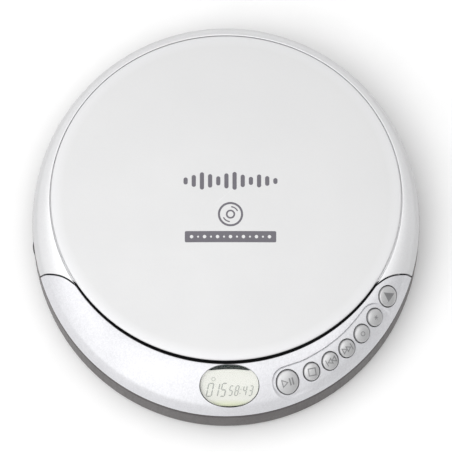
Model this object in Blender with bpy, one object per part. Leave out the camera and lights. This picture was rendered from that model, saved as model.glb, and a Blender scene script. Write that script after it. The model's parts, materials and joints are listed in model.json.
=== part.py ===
"""Portable CD player, modelled as separate pieces that move where the real ones move.

Run with: blender --background --python part.py
Frame: +Z up, front of the player towards -Y, origin on the table under the middle of the body.
Sizes are written in millimetres and scaled to metres where each mesh is made.
"""
import math

import bpy
import bmesh
from mathutils import Matrix, Vector

MM = 0.001
GAP = 0.3                       # clearance between neighbouring pieces

# ---- driving dimensions ----
BODY_A, BODY_B = 69.0, 72.0     # half width and half depth of the body outline
PLATE_A, PLATE_B = 62.3, 60.0   # half width and half depth of the lid plate
PLATE_Y = 6.4                   # centre of the lid plate
DISC_Y = 6.0                    # centre of the disc and its spindle
Z_BOTTOM = 0.8                  # underside of the bottom case, above the table
Z_FLOOR = 2.4                   # inner floor of the bottom case
Z_SPLIT = 16.1                  # top edge of the bottom case
Z_RIM = 16.5                    # lower edge of the silver shells
Z_PLATE_EDGE = 25.0
Z_CROWN, PLATE_FALL = 28.0, 2.45    # middle of the lid plate, and its fall to the edge
PLATE_THICK = 1.35
RIM_RISE, RIM_RADIUS = 2.6, 3.2 # rounding of the shoulder at the rim
SHELL = 1.5                     # thickness of the silver shells
WALL = 1.7                      # thickness of the bottom case
OUTLINE_SIDES = 52

# disc well
WELL_R = 61.2
WELL_WALL = 1.0
Z_WELL_UNDER, Z_WELL_FLOOR, Z_WELL_TOP = 17.2, 18.4, 21.4
Z_DECK_UNDER, Z_DECK_TOP = 15.0, 16.1
DECK_FROM, DECK_TO = -32.0, 196.0

# lid hinge and latch
HINGE_Y, HINGE_Z = 68.0, 11.6
Z_SHELF_LOW, Z_SHELF_TOP = 22.6, 23.8
HINGE_KNUCKLE_R, HINGE_ROD_R, HINGE_BORE_R = 2.3, 0.9, 1.28
KNUCKLE_IN, KNUCKLE_OUT = 6.5, 12.0
LATCH_AT = (58.0, -23.7)
LATCH_DIRECTION = (0.53, 0.848)
Z_LATCH_LOW, Z_LATCH_TOP = 16.4, 18.2
LATCH_REAR, LATCH_TRAVEL = -6.4, 1.5        # along the slide, from its frame

# battery bay and its door
BAY_X = 28.5
BAY_FRONT, BAY_BACK = -61.2, -30.0
Z_BAY_TOP, Z_TUB_TOP = 16.25, 16.9
DOOR_Y, DOOR_Z, DOOR_PIN_R = -31.0, 1.9, 0.6
DOOR_LIP = 1.36                 # reach of the door's rear corner from its hinge
CELL_FRONT_Y, CELL_REAR_Y, CELL_Z = -53.9, -39.0, 9.0

# keys on the front panel: name, x, y, width, height, flange, depth of the hole, foot height
BUTTONS = (
    ("play_pause_button", 21.8, -61.0, 8.3, 9.1, 0.25, 4.0, 19.8),
    ("stop_button", 30.3, -57.2, 6.2, 6.9, 0.25, 4.0, 19.8),
    ("previous_button", 36.9, -53.3, 6.2, 6.9, 0.25, 4.0, 19.8),
    ("next_button", 42.9, -48.7, 6.2, 6.9, 0.25, 4.0, 19.8),
    ("mode_button", 48.2, -43.3, 6.1, 6.9, 0.25, 4.0, 19.8),
    ("sound_button", 52.8, -37.4, 6.1, 6.8, 0.25, 4.0, 19.8),
    ("open_button", 57.4, -29.7, 7.3, 7.9, 0.0, 7.0, 20.1),
)
KEY_STEM_R = 1.0
KEY_LIMIT_A, KEY_LIMIT_B, KEY_LIMIT_Y = 66.5, 67.7, 2.2     # ellipse inside the shoulder, for the boards
WINDOW_X, WINDOW_Y = 1.2, -62.3
WINDOW_A, WINDOW_B = 10.6, 7.1  # half width and half depth of the display window
WINDOW_POWER = 2.7

# drive
MOTOR_R = 12.0
TABLE_R, BOSS_R, Z_SEAT = 15.0, 7.2, 20.2
BALL_R, BALL_REACH, Z_BALL = 1.2, 6.55, 21.75
Z_CHASSIS_LOW, Z_CHASSIS_TOP = 12.6, 14.0
ROD_FRONT_Y, ROD_REAR_Y, ROD_Z, ROD_R = -6.0, 15.0, 9.8, 1.0
LENS_X = 24.0
SLED_X = (18.2, 29.8)
GEAR_AT = (27.0, -14.4)
PINION_AT = (34.6, -20.3)
Z_GEAR_LOW, Z_GEAR_TOP = 4.6, 5.8
SMALL_TEETH, LARGE_TEETH, PINION_TEETH = 12, 45, 8
RACK_PITCH = math.tau * 3.0 / SMALL_TEETH   # 3 mm is the small gear's pitch radius
DAMPERS = ((-20.5, -10.0), (-20.5, 20.0), (40.0, 21.0), (49.0, -15.0))

# bosses of the bottom case
SCREW_BOSS_R, Z_SCREW_BOSS = 3.2, 11.0
SCREW_R, SCREW_HOLE_R, SCREW_HEAD_HOLE_R = 1.2, 1.5, 2.8
DAMPER_POST_R, DAMPER_PIN_R, Z_DAMPER_POST, Z_DAMPER_PIN = 3.0, 1.3, 11.0, 15.5
BAY_WALL = 1.3
HINGE_BLOCK_X, HINGE_BLOCK_HALF, HINGE_BLOCK_FRONT = 15.0, 2.6, 65.2
HINGE_POCKET_X, HINGE_POCKET_FRONT = 12.4, 69.0

# fixings
FOOT_R, FOOT_RECESS_R = 4.5, 4.95
FEET = ((-40.0, -47.0), (40.0, -47.0), (43.0, 41.0), (-43.0, 41.0))
SCREWS = ((-48.0, -34.0), (46.5, -29.5), (30.0, 46.0))
BOARD_POSTS = ((-52.0, -18.0), (-50.0, 44.0), (14.0, 58.0))

# controls and sockets on the left side
DIAL_AT, DIAL_R = (-61.6, -8.0), 7.4
PHONES_Y, PHONES_Z = 14.0, 10.1
POWER_Y, POWER_Z = 30.0, 10.8
Z_BOARD_LOW, Z_BOARD_TOP = 6.0, 7.2

FINISHES = {                    # base colour, roughness, metallic
    "silver_paint": ((0.74, 0.74, 0.75), 0.34, 0.35),
    "pearl_plate": ((0.80, 0.80, 0.80), 0.38, 0.10),
    "grey_metallic": ((0.20, 0.19, 0.19), 0.42, 0.45),
    "black_plastic": ((0.03, 0.03, 0.03), 0.50, 0.0),
    "grey_plastic": ((0.30, 0.30, 0.31), 0.50, 0.0),
    "clear_window": ((0.78, 0.82, 0.74), 0.08, 0.0),
    "display_glass": ((0.62, 0.66, 0.56), 0.20, 0.0),
    "steel": ((0.60, 0.60, 0.60), 0.28, 1.0),
    "rubber": ((0.05, 0.05, 0.05), 0.85, 0.0),
    "circuit_board": ((0.04, 0.20, 0.09), 0.45, 0.0),
    "white_gear": ((0.80, 0.79, 0.74), 0.45, 0.0),
    "lens_glass": ((0.25, 0.30, 0.55), 0.05, 0.0),
}


# ---- outline and surface of the body ----

def ellipse(a, b, centre_y=0.0, sides=OUTLINE_SIDES, start=0.0, end=360.0):
    """Points of an ellipse in plan; a full turn leaves out the repeated last point."""
    full_turn = abs(end - start - 360.0) < 1e-6
    count = sides if full_turn else sides + 1
    points = []
    for i in range(count):
        t = math.radians(start + (end - start) * i / sides)
        points.append((a * math.cos(t), centre_y + b * math.sin(t)))
    return points


def shoulder_point(s, t):
    """Plan position on the shoulder: s is 0 at the plate's edge and 1 at the body outline."""
    a = PLATE_A + (BODY_A - PLATE_A) * s
    b = PLATE_B + (BODY_B - PLATE_B) * s
    return a * math.cos(t), PLATE_Y * (1.0 - s) + b * math.sin(t)


def shoulder_z(s, inset):
    """Height of the shoulder: a rounded rim, then an easy slope up to the plate's edge."""
    inside_round = min(inset, RIM_RADIUS) / RIM_RADIUS
    rim = RIM_RISE * (1.0 - (1.0 - inside_round) ** 2)
    slope = (Z_PLATE_EDGE - Z_RIM - RIM_RISE) * (1.0 - s ** 1.8)
    return Z_RIM + rim + slope


def shoulder_at(s, t):
    x, y = shoulder_point(s, t)
    rim_x, rim_y = shoulder_point(1.0, t)
    return Vector((x, y, shoulder_z(s, math.hypot(rim_x - x, rim_y - y))))


def surface_height(x, y):
    """Height of the shoulder above a plan position, by halving the range of s."""
    low, high = 0.0, 1.0
    for _ in range(40):
        s = 0.5 * (low + high)
        a = PLATE_A + (BODY_A - PLATE_A) * s
        b = PLATE_B + (BODY_B - PLATE_B) * s
        if (x / a) ** 2 + ((y - PLATE_Y * (1.0 - s)) / b) ** 2 > 1.0:
            low = s
        else:
            high = s
    t = math.atan2((y - PLATE_Y * (1.0 - s)) / b, x / a)
    rim_x, rim_y = shoulder_point(1.0, t)
    return shoulder_z(s, math.hypot(rim_x - x, rim_y - y))


def surface_frame(x, y):
    """Matrix whose Z is the shoulder's normal at a plan position and whose X lies level-ish."""
    step = 0.2
    rise_x = (surface_height(x + step, y) - surface_height(x - step, y)) / (2 * step)
    rise_y = (surface_height(x, y + step) - surface_height(x, y - step)) / (2 * step)
    normal = Vector((-rise_x, -rise_y, 1.0)).normalized()
    across = Vector((1.0, 0.0, rise_x)).normalized()
    along = normal.cross(across)
    frame = Matrix((across, along, normal)).transposed().to_4x4()
    frame.translation = Vector((x, y, surface_height(x, y)))
    return frame


# ---- solids as (vertices, faces) in millimetres ----

def loft(rings, closed=False):
    """Skin a list of equal point rings; a closed loft is a ring-shaped solid without caps."""
    count = len(rings[0])
    vertices = [Vector(p) for ring in rings for p in ring]
    faces = []
    spans = len(rings) if closed else len(rings) - 1
    for r in range(spans):
        low, high = r * count, ((r + 1) % len(rings)) * count
        for i in range(count):
            j = (i + 1) % count
            faces.append((low + i, low + j, high + j, high + i))
    if not closed:
        faces.append(tuple(reversed(range(count))))
        faces.append(tuple(range((len(rings) - 1) * count, len(rings) * count)))
    return vertices, faces


def prism(outline, z_low, z_high):
    return loft([[(x, y, z_low) for x, y in outline], [(x, y, z_high) for x, y in outline]])


def box(x0, x1, y0, y1, z0, z1):
    return prism([(x0, y0), (x1, y0), (x1, y1), (x0, y1)], z0, z1)


def bar(profile_yz, x0, x1):
    """A profile in Y and Z, extruded along X."""
    return loft([[(x0, y, z) for y, z in profile_yz], [(x1, y, z) for y, z in profile_yz]])


def turned(profile, sides, centre=(0.0, 0.0), closed=False):
    """Solid of revolution about a vertical line from (radius, height) pairs."""
    rings = []
    for radius, z in profile:
        rings.append([(centre[0] + x, centre[1] + y, z) for x, y in ellipse(radius, radius, 0.0, sides)])
    return loft(rings, closed)


def rod_x(radius, x0, x1, y, z, sides):
    """A round bar along X."""
    return bar([(y + u, z + v) for u, v in ellipse(radius, radius, 0.0, sides)], x0, x1)


def moved(solid, matrix):
    return [matrix @ v for v in solid[0]], solid[1]


def together(*solids):
    """Several clear-standing solids as one set of faces, for cutters."""
    vertices, faces = [], []
    for points, polygons in solids:
        base = len(vertices)
        vertices.extend(points)
        faces.extend(tuple(base + i for i in polygon) for polygon in polygons)
    return vertices, faces


def repeated(profile, sides, places):
    """The same turned solid at several places."""
    return together(*(turned(profile, sides, at) for at in places))


def wire(path, radius, sides=5):
    """A round wire along a path, with the cross-section carried along without twist."""
    path = [Vector(p) for p in path]
    side = Vector((0.0, 0.0, 1.0)).cross(path[1] - path[0])
    if side.length < 1e-6:
        side = Vector((1.0, 0.0, 0.0))
    rings = []
    for i, point in enumerate(path):
        ahead = path[min(i + 1, len(path) - 1)] - path[max(i - 1, 0)]
        ahead.normalize()
        side = (side - ahead * side.dot(ahead)).normalized()
        other = ahead.cross(side)
        ring = [point + radius * (math.cos(a) * side + math.sin(a) * other)
                for a in (math.tau * k / sides for k in range(sides))]
        rings.append(ring)
    return loft(rings)


def coil(start, along, length, radius_start, radius_end, turns, steps=12):
    """Points of a helix from start, winding about the direction along."""
    along = Vector(along).normalized()
    side = along.orthogonal().normalized()
    other = along.cross(side)
    count = int(turns * steps)
    points = []
    for i in range(count + 1):
        share = i / count
        angle = math.tau * turns * share
        radius = radius_start + (radius_end - radius_start) * share
        points.append(Vector(start) + along * length * share
                      + radius * (math.cos(angle) * side + math.sin(angle) * other))
    return points


# ---- objects ----

def clear_scene():
    for obj in list(bpy.data.objects):
        bpy.data.objects.remove(obj, do_unlink=True)


def finish_material(name):
    material = bpy.data.materials.get(name)
    if material is None:
        colour, roughness, metallic = FINISHES[name]
        material = bpy.data.materials.new(name)
        material.use_nodes = True
        shader = material.node_tree.nodes["Principled BSDF"]
        shader.inputs["Base Color"].default_value = (*colour, 1.0)
        shader.inputs["Roughness"].default_value = roughness
        shader.inputs["Metallic"].default_value = metallic
    return material


def make(name, solid, finish=None, pivot=(0.0, 0.0, 0.0)):
    """Turn a solid into an object whose origin is its pivot."""
    pivot = Vector(pivot)
    mesh = bpy.data.meshes.new(name)
    mesh.from_pydata([(Vector(v) - pivot) * MM for v in solid[0]], [], solid[1])
    editable = bmesh.new()
    editable.from_mesh(mesh)
    bmesh.ops.recalc_face_normals(editable, faces=editable.faces)
    editable.to_mesh(mesh)
    editable.free()
    mesh.shade_smooth()
    mesh.set_sharp_from_angle(angle=math.radians(35))
    obj = bpy.data.objects.new(name, mesh)
    obj.location = pivot * MM
    bpy.context.collection.objects.link(obj)
    if finish:
        mesh.materials.append(finish_material(finish))
    return obj


def tool(name, solid):
    """A shape that only cuts or joins: hidden from the result."""
    obj = make(name, solid)
    obj.hide_render = True
    obj.display_type = 'WIRE'
    return obj


def combine(target, operation, *solids):
    for solid in solids:
        number = len(target.modifiers)
        helper = tool(f"tool_{target.name}_{number}", solid)
        modifier = target.modifiers.new(f"{operation.lower()}_{number}", 'BOOLEAN')
        modifier.operation = operation
        modifier.object = helper
        modifier.solver = 'EXACT'
    return target


def cut(target, *solids):
    return combine(target, 'DIFFERENCE', *solids)


def join(target, *solids):
    return combine(target, 'UNION', *solids)


# ---- casing ----

def seam_outline(gap):
    """Edge of the lid's ring over the front panel, moved outwards by a gap, right then left."""
    knots = [(75.0, -20.3), (70.0, -20.3), (65.5, -20.6), (60.1, -21.8), (56.6, -23.3), (53.4, -25.7),
             (50.5, -28.6), (48.0, -31.8), (44.0, -31.8)]
    right = smooth_line(knots, 4)
    shifted = []
    for i, point in enumerate(right):
        ahead = right[min(i + 1, len(right) - 1)] - right[max(i - 1, 0)]
        outward = Vector((-ahead.y, ahead.x)).normalized()
        shifted.append(point + outward * gap)
    left = [Vector((-p.x, p.y)) for p in reversed(shifted)]
    back = [Vector((-80.0, 80.0)), Vector((80.0, 80.0))]
    return [(p.x, p.y) for p in back + shifted + left][::-1]


def smooth_line(knots, steps):
    """A Catmull-Rom line through plan points."""
    knots = [Vector(k) for k in knots]
    points = []
    for i in range(len(knots) - 1):
        before = knots[max(i - 1, 0)]
        after = knots[min(i + 2, len(knots) - 1)]
        start, end = knots[i], knots[i + 1]
        for k in range(steps):
            u = k / steps
            points.append(0.5 * ((2 * start) + (end - before) * u
                                 + (2 * before - 5 * start + 4 * end - after) * u * u
                                 + (3 * start - before - 3 * end + after) * u ** 3))
    points.append(knots[-1])
    return points


def shoulder_shell(inner_steps, lip_z, lip_width=0.0):
    """The whole silver shoulder as a ring, whose inner edge may end in an upright lip."""
    start = 0.06
    outer_steps = (start, 0.32, 0.56, 0.76, 0.91, 1.0)
    angles = [math.tau * i / OUTLINE_SIDES for i in range(OUTLINE_SIDES)]
    rings = [[shoulder_at(s, t) for t in angles] for s in outer_steps]
    rings.append([(x, y, Z_RIM) for x, y in ellipse(BODY_A - SHELL, BODY_B - SHELL)])
    for s in inner_steps:
        rings.append([shoulder_inside(s, t) for t in angles])
    edge_a = PLATE_A + (BODY_A - PLATE_A) * start
    edge_b = PLATE_B + (BODY_B - PLATE_B) * start
    edge_y = PLATE_Y * (1.0 - start)
    if lip_width:
        behind_lip = ellipse(edge_a + lip_width, edge_b + lip_width, edge_y)
        rings.append([(x, y, Z_PLATE_EDGE - 2.1) for x, y in behind_lip])
        rings.append([(x, y, lip_z) for x, y in behind_lip])
    rings.append([(x, y, lip_z) for x, y in ellipse(edge_a, edge_b, edge_y)])
    return loft(rings, closed=True)


def shoulder_inside(s, t):
    """Inner face of the shoulder, one shell thickness below the outer face."""
    here = shoulder_at(s, t)
    along = shoulder_at(s + 0.02, t) - shoulder_at(s - 0.02, t)
    around = shoulder_at(s, t + 0.01) - shoulder_at(s, t - 0.01)
    return here - along.cross(around).normalized() * SHELL


def base_cavity():
    """The hollow of the bottom case, with its bosses, hinge blocks and battery bay left standing."""
    cavity = tool("base_cavity", case_loft([(4.0, Z_FLOOR), (WALL, 4.8), (WALL, Z_SPLIT + 1.0)]))
    root = Z_FLOOR - 1.0
    cut(cavity, box(-BAY_X - BAY_WALL, BAY_X + BAY_WALL, BAY_FRONT - BAY_WALL, BAY_BACK + BAY_WALL,
                    root, Z_TUB_TOP))
    for side in (-1, 1):
        middle = side * HINGE_BLOCK_X
        cut(cavity, box(middle - HINGE_BLOCK_HALF, middle + HINGE_BLOCK_HALF, HINGE_BLOCK_FRONT, 75.0,
                        root, 14.5))
    damper_post = [(DAMPER_POST_R, root), (DAMPER_POST_R, Z_DAMPER_POST), (DAMPER_PIN_R, Z_DAMPER_POST),
                   (DAMPER_PIN_R, Z_DAMPER_PIN)]
    cut(cavity, repeated([(SCREW_BOSS_R, root), (SCREW_BOSS_R, Z_SCREW_BOSS)], 12, SCREWS))
    cut(cavity, repeated(damper_post, 10, DAMPERS))
    cut(cavity, repeated([(2.0, root), (2.2, Z_BOARD_LOW - GAP)], 8, BOARD_POSTS))
    return cavity


def build_base_case():
    outer = [(3.0, Z_BOTTOM), (0.9, 1.6), (0.0, 3.4), (0.0, Z_SPLIT)]
    case = make("base_case", case_loft(outer), "grey_metallic")
    hollow = case.modifiers.new("hollow", 'BOOLEAN')
    hollow.operation = 'DIFFERENCE'
    hollow.object = base_cavity()
    door_end = DOOR_Y + DOOR_LIP + GAP
    cut(case, bar([(BAY_FRONT, 0.0), (door_end, 0.0), (door_end, 3.0), (BAY_BACK, 3.0),
                   (BAY_BACK, Z_BAY_TOP), (BAY_FRONT, Z_BAY_TOP)], -BAY_X, BAY_X))
    cut(case, box(-HINGE_POCKET_X, HINGE_POCKET_X, HINGE_POCKET_FRONT, 75.0, 8.4, Z_SPLIT + 1.0))
    cut(case, box(-21.0, 21.0, 66.0, 75.0, 15.5, Z_SPLIT + 1.1))
    for side in (-1, 1):
        cut(case, rod_x(HINGE_BORE_R, side * 12.0, side * 16.8, HINGE_Y, HINGE_Z, 10))
        cut(case, rod_x(DOOR_PIN_R + GAP, side * (BAY_X - 0.5), side * (BAY_X + 0.8), DOOR_Y, DOOR_Z, 8))
    cut(case, box(-75.0, -62.0, DIAL_AT[1] - 6.4, DIAL_AT[1] + 6.4, 9.8, 13.0))
    cut(case, rod_x(3.1, -75.0, -60.0, PHONES_Y, PHONES_Z, 16))
    cut(case, rod_x(3.5, -75.0, -56.0, POWER_Y, POWER_Z, 16))
    cut(case, repeated([(FOOT_RECESS_R, 0.0), (FOOT_RECESS_R, 1.5)], 14, FEET))
    cut(case, repeated([(SCREW_HEAD_HOLE_R, 0.0), (SCREW_HEAD_HOLE_R, 2.0), (SCREW_HOLE_R, 2.0),
                        (SCREW_HOLE_R, 12.0)], 10, SCREWS))
    return case


def case_loft(levels):
    """Loft of body outlines from (inset, height) pairs."""
    return loft([[(x, y, z) for x, y in ellipse(BODY_A - inset, BODY_B - inset)] for inset, z in levels])


def build_disc_tray():
    rim = WELL_R + WELL_WALL
    well = turned([(16.6, Z_WELL_UNDER), (16.6, Z_WELL_FLOOR), (WELL_R, Z_WELL_FLOOR),
                   (WELL_R, Z_WELL_TOP), (rim, Z_WELL_TOP), (rim, Z_WELL_UNDER)],
                  48, (0.0, DISC_Y), closed=True)
    tray = make("disc_tray", well, "black_plastic")
    inner = ellipse(WELL_R + 0.4, WELL_R + 0.4, DISC_Y, 32, DECK_FROM, DECK_TO)
    deck = ellipse(BODY_A - 2.15, BODY_B - 2.15, 0.0, 32, DECK_FROM, DECK_TO)
    skirt = ellipse(rim - 0.1, rim - 0.1, DISC_Y, 32, DECK_FROM, DECK_TO)
    skirt_inside = ellipse(WELL_R + 0.2, WELL_R + 0.2, DISC_Y, 32, DECK_FROM, DECK_TO)
    join(tray, prism(skirt + skirt_inside[::-1], Z_DECK_UNDER + 0.3, Z_WELL_FLOOR - 0.3),
         prism(deck + inner[::-1], Z_DECK_UNDER, Z_DECK_TOP))
    join(tray, repeated([(3.0, Z_SCREW_BOSS + GAP), (3.0, Z_WELL_UNDER + 0.5)], 10, SCREWS))
    cut(tray, repeated([(1.65, Z_SCREW_BOSS), (1.65, 16.0)], 8, SCREWS))
    cut(tray, box(20.2, 61.0, DISC_Y - 4.0, DISC_Y + 4.0, 16.0, 19.0))
    cut(tray, box(-HINGE_POCKET_X - GAP, HINGE_POCKET_X + GAP, 68.4, 75.0, 14.0, 17.0))
    return tray


def button_outline(width, height, extra, sides=12):
    return ellipse(0.5 * width + extra, 0.5 * height + extra, 0.0, sides)


def window_outline(inset, sides=28):
    """Rounded, slightly squared oval of the display window, in plan."""
    points = []
    for i in range(sides):
        t = math.tau * i / sides
        c, s = math.cos(t), math.sin(t)
        x = (WINDOW_A - inset) * math.copysign(abs(c) ** (2.0 / WINDOW_POWER), c)
        y = (WINDOW_B - inset) * math.copysign(abs(s) ** (2.0 / WINDOW_POWER), s)
        points.append((WINDOW_X + x, WINDOW_Y + y))
    return points


def build_front_panel():
    shell = shoulder_shell((0.80, 0.60, 0.42), Z_WELL_TOP + 0.35, lip_width=1.2)
    panel = make("front_panel", shell, "silver_paint")
    cut(panel, prism(seam_outline(0.35), 10.0, 35.0))
    holes = []
    for _, x, y, width, height, _, depth, _ in BUTTONS:
        hole = prism(button_outline(width, height, 0.35), -depth, 3.0)
        holes.append(moved(hole, surface_frame(x, y)))
    cut(panel, together(*holes), prism(window_outline(0.0), 10.0, 35.0))
    return panel


def build_lid_shell():
    shell = make("lid_shell", shoulder_shell((0.80, 0.52, 0.24), Z_PLATE_EDGE - 1.8), "silver_paint",
                 pivot=(0.0, HINGE_Y, HINGE_Z))
    combine(shell, 'INTERSECT', prism(seam_outline(0.0), 10.0, 35.0))
    join(shell, lid_shelf())
    join(shell, bar([(69.0, 14.8), (70.4, 14.8), (70.4, 18.6), (69.0, 18.6)], -KNUCKLE_OUT, KNUCKLE_OUT))
    for side in (-1, 1):
        x0, x1 = sorted((side * KNUCKLE_IN, side * KNUCKLE_OUT))
        knuckle = rod_x(HINGE_KNUCKLE_R, x0, x1, HINGE_Y, HINGE_Z, 16)
        arm = bar([(69.0, 11.0), (70.2, 11.0), (70.4, 16.0), (69.0, 16.0)], x0 + 0.01, x1 - 0.01)
        join(shell, knuckle, arm)
    cut(shell, rod_x(HINGE_BORE_R, -13.0, 13.0, HINGE_Y, HINGE_Z, 10))
    join(shell, latch_block([(5.2, 16.9), (6.6, 16.9), (6.6, 22.7), (5.2, 22.7), (5.2, 17.7),
                             (4.4, 17.7), (4.4, 16.9)], 1.2))
    return shell


def lid_shelf():
    """Flat ring under the plate; it reaches into the shell behind and stays inside it in front."""
    outer = []
    for i in range(OUTLINE_SIDES):
        t = math.tau * i / OUTLINE_SIDES
        joins_shell = math.sin(t) > math.sin(math.radians(-24.0))
        a, b = (64.2, 61.7) if joins_shell else (61.6, 59.3)
        outer.append((a * math.cos(t), PLATE_Y + b * math.sin(t)))
    inner = ellipse(56.2, 54.1, PLATE_Y)
    return loft([[(x, y, Z_SHELF_LOW) for x, y in outer], [(x, y, Z_SHELF_TOP) for x, y in outer],
                 [(x, y, Z_SHELF_TOP) for x, y in inner], [(x, y, Z_SHELF_LOW) for x, y in inner]],
                closed=True)


def latch_frame():
    """Frame on the latch: X along its slide, towards the hook; Y outwards; Z up."""
    along = Vector((*LATCH_DIRECTION, 0.0)).normalized()
    up = Vector((0.0, 0.0, 1.0))
    frame = Matrix((along, up.cross(along), up)).transposed().to_4x4()
    frame.translation = Vector((*LATCH_AT, 0.0))
    return frame


def latch_block(profile, half_width):
    """A profile along the latch's slide and up, extruded to both sides."""
    rings = [[(u, v, z) for u, z in profile] for v in (-half_width, half_width)]
    return moved(loft(rings), latch_frame())


def build_lid_plate():
    """Crowned plate with a softly rounded edge."""
    rings = []
    for share, drop in ((0.12, 0.0), (0.50, 0.0), (0.90, 0.0), (0.97, 0.15), (1.0, 0.62)):
        z = Z_CROWN - PLATE_FALL * share * share - drop
        rings.append([(x, y, z) for x, y in ellipse(PLATE_A * share, PLATE_B * share, PLATE_Y)])
    for share in (1.0, 0.80, 0.40):
        z = Z_CROWN - PLATE_THICK - PLATE_FALL * share * share
        rings.append([(x, y, z) for x, y in ellipse(PLATE_A * share, PLATE_B * share, PLATE_Y)])
    return make("lid_plate", loft(rings), "pearl_plate", pivot=(0.0, HINGE_Y, HINGE_Z))


def build_lid_liner():
    rings = []
    for share, down in ((0.40, 1.7), (0.88, 1.7), (0.88, 2.5), (0.40, 2.5)):
        z = Z_CROWN - down - PLATE_FALL * share * share
        rings.append([(x, y, z) for x, y in ellipse(PLATE_A * share, PLATE_B * share, PLATE_Y, 40)])
    return make("lid_liner", loft(rings), "black_plastic", pivot=(0.0, HINGE_Y, HINGE_Z))


def build_battery_door():
    lip_y = DOOR_Y + 0.8
    door = make("battery_door", box(-BAY_X + GAP, BAY_X - GAP, BAY_FRONT + GAP, lip_y, Z_BOTTOM, 1.6),
                "grey_metallic", pivot=(0.0, DOOR_Y, DOOR_Z))
    for side in (-1, 1):
        x0, x1 = sorted((side * 26.4, side * (BAY_X - GAP - 0.01)))
        join(door, bar([(DOOR_Y + u, DOOR_Z + v) for u, v in ellipse(1.0, 0.95, 0.0, 16)], x0, x1))
        pin = sorted((side * 27.0, side * (BAY_X + 0.5)))
        join(door, rod_x(DOOR_PIN_R, pin[0], pin[1], DOOR_Y, DOOR_Z, 8))
    return door


def build_display():
    lens_rings = []
    for inset_share, lift in ((0.65, -1.3), (0.30, -1.3), (0.0, -1.3), (0.0, 0.0), (0.06, 0.2),
                              (0.30, 0.3), (0.65, 0.35)):
        outline = window_outline(GAP)
        centre = Vector((WINDOW_X, WINDOW_Y))
        ring = []
        for x, y in outline:
            point = centre + (Vector((x, y)) - centre) * (1.0 - inset_share)
            ring.append((point.x, point.y, surface_height(point.x, point.y) + lift))
        lens_rings.append(ring)
    make("display_lens", loft(lens_rings), "clear_window")
    frame = surface_frame(WINDOW_X, WINDOW_Y)
    make("display_panel", moved(box(-8.8, 8.8, -4.9, 3.7, -3.3, -2.3), frame), "display_glass")
    outer = [(-9.4, -5.4), (9.4, -5.4), (9.4, 4.0), (-9.4, 4.0)]
    inner = [(-7.8, -4.1), (7.8, -4.1), (7.8, 2.9), (-7.8, 2.9)]
    ring = loft([[(x, y, -4.4) for x, y in outer], [(x, y, -3.6) for x, y in outer],
                 [(x, y, -3.6) for x, y in inner], [(x, y, -4.4) for x, y in inner]], closed=True)
    make("display_frame", moved(ring, frame), "black_plastic")


def build_buttons():
    """Domed keys with a flange under the panel and a short stem."""
    for name, x, y, width, height, flange, _, foot_z in BUTTONS:
        frame = surface_frame(x, y)
        stem = KEY_STEM_R / (0.5 * width)
        foot = (foot_z - frame.translation.z) / frame[2][2]
        levels = [(foot, stem, 0.0), (-3.0, stem, 0.0), (-3.0, 1.0, flange), (-2.7, 1.0, flange),
                  (-2.7, 1.0, 0.0), (0.0, 1.0, 0.0), (0.6, 0.86, 0.0), (0.98, 0.4, 0.0)]
        rings = []
        for z, share, extra in levels:
            rings.append([(px * share, py * share, z) for px, py in button_outline(width, height, extra)])
        make(name, moved(loft(rings), frame), "silver_paint", pivot=frame.translation)


def key_crescent(start, end, inset, z_low, z_high):
    """Crescent between the disc well and the shoulder, from start to end in degrees."""
    radius = WELL_R + WELL_WALL + 0.7 + inset
    inner = ellipse(radius, radius, DISC_Y, 22, start, end)
    outer = []
    for x, y in inner:
        direction = Vector((x, y - DISC_Y)).normalized()
        reach = Vector((x, y))
        while (reach.x / KEY_LIMIT_A) ** 2 + ((reach.y - KEY_LIMIT_Y) / KEY_LIMIT_B) ** 2 < 1.0:
            reach += direction * 0.05
        reach -= direction * inset
        outer.append((reach.x, reach.y))
    return prism(outer + inner[::-1], z_low, z_high)


def build_boards():
    key_board = make("key_board", key_crescent(225.0, 322.2, 0.0, 17.3, 18.1), "circuit_board")
    cut(key_board, box(-9.6, 12.2, -72.0, -60.6, 16.0, 20.0))
    membrane = make("key_membrane", key_crescent(284.0, 322.0, 1.0, 18.4, 18.7), "rubber")
    domes = []
    for _, x, y, _, _, _, _, foot_z in BUTTONS[:-1]:
        frame = surface_frame(x, y)
        foot = frame @ Vector((0.0, 0.0, (foot_z - frame.translation.z) / frame[2][2]))
        domes.append(turned([(1.1, 18.5), (0.6, 18.8)], 8, (foot.x, foot.y)))
    join(membrane, together(*domes))
    outer = ellipse(62.4, 64.4, 0.0, 32, 69.4, 202.0)
    outline = outer + [(-27.0, -24.0), (-27.0, 27.0), (22.0, 27.0)]
    make("main_board", prism(outline, Z_BOARD_LOW, Z_BOARD_TOP), "circuit_board")
    low = Z_BOARD_TOP + GAP
    make("decoder_chip", box(-46.0, -34.0, 36.0, 48.0, low, low + 1.5), "black_plastic")
    make("servo_chip", box(-8.0, 2.0, 40.0, 48.0, low, low + 1.5), "black_plastic")


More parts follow.
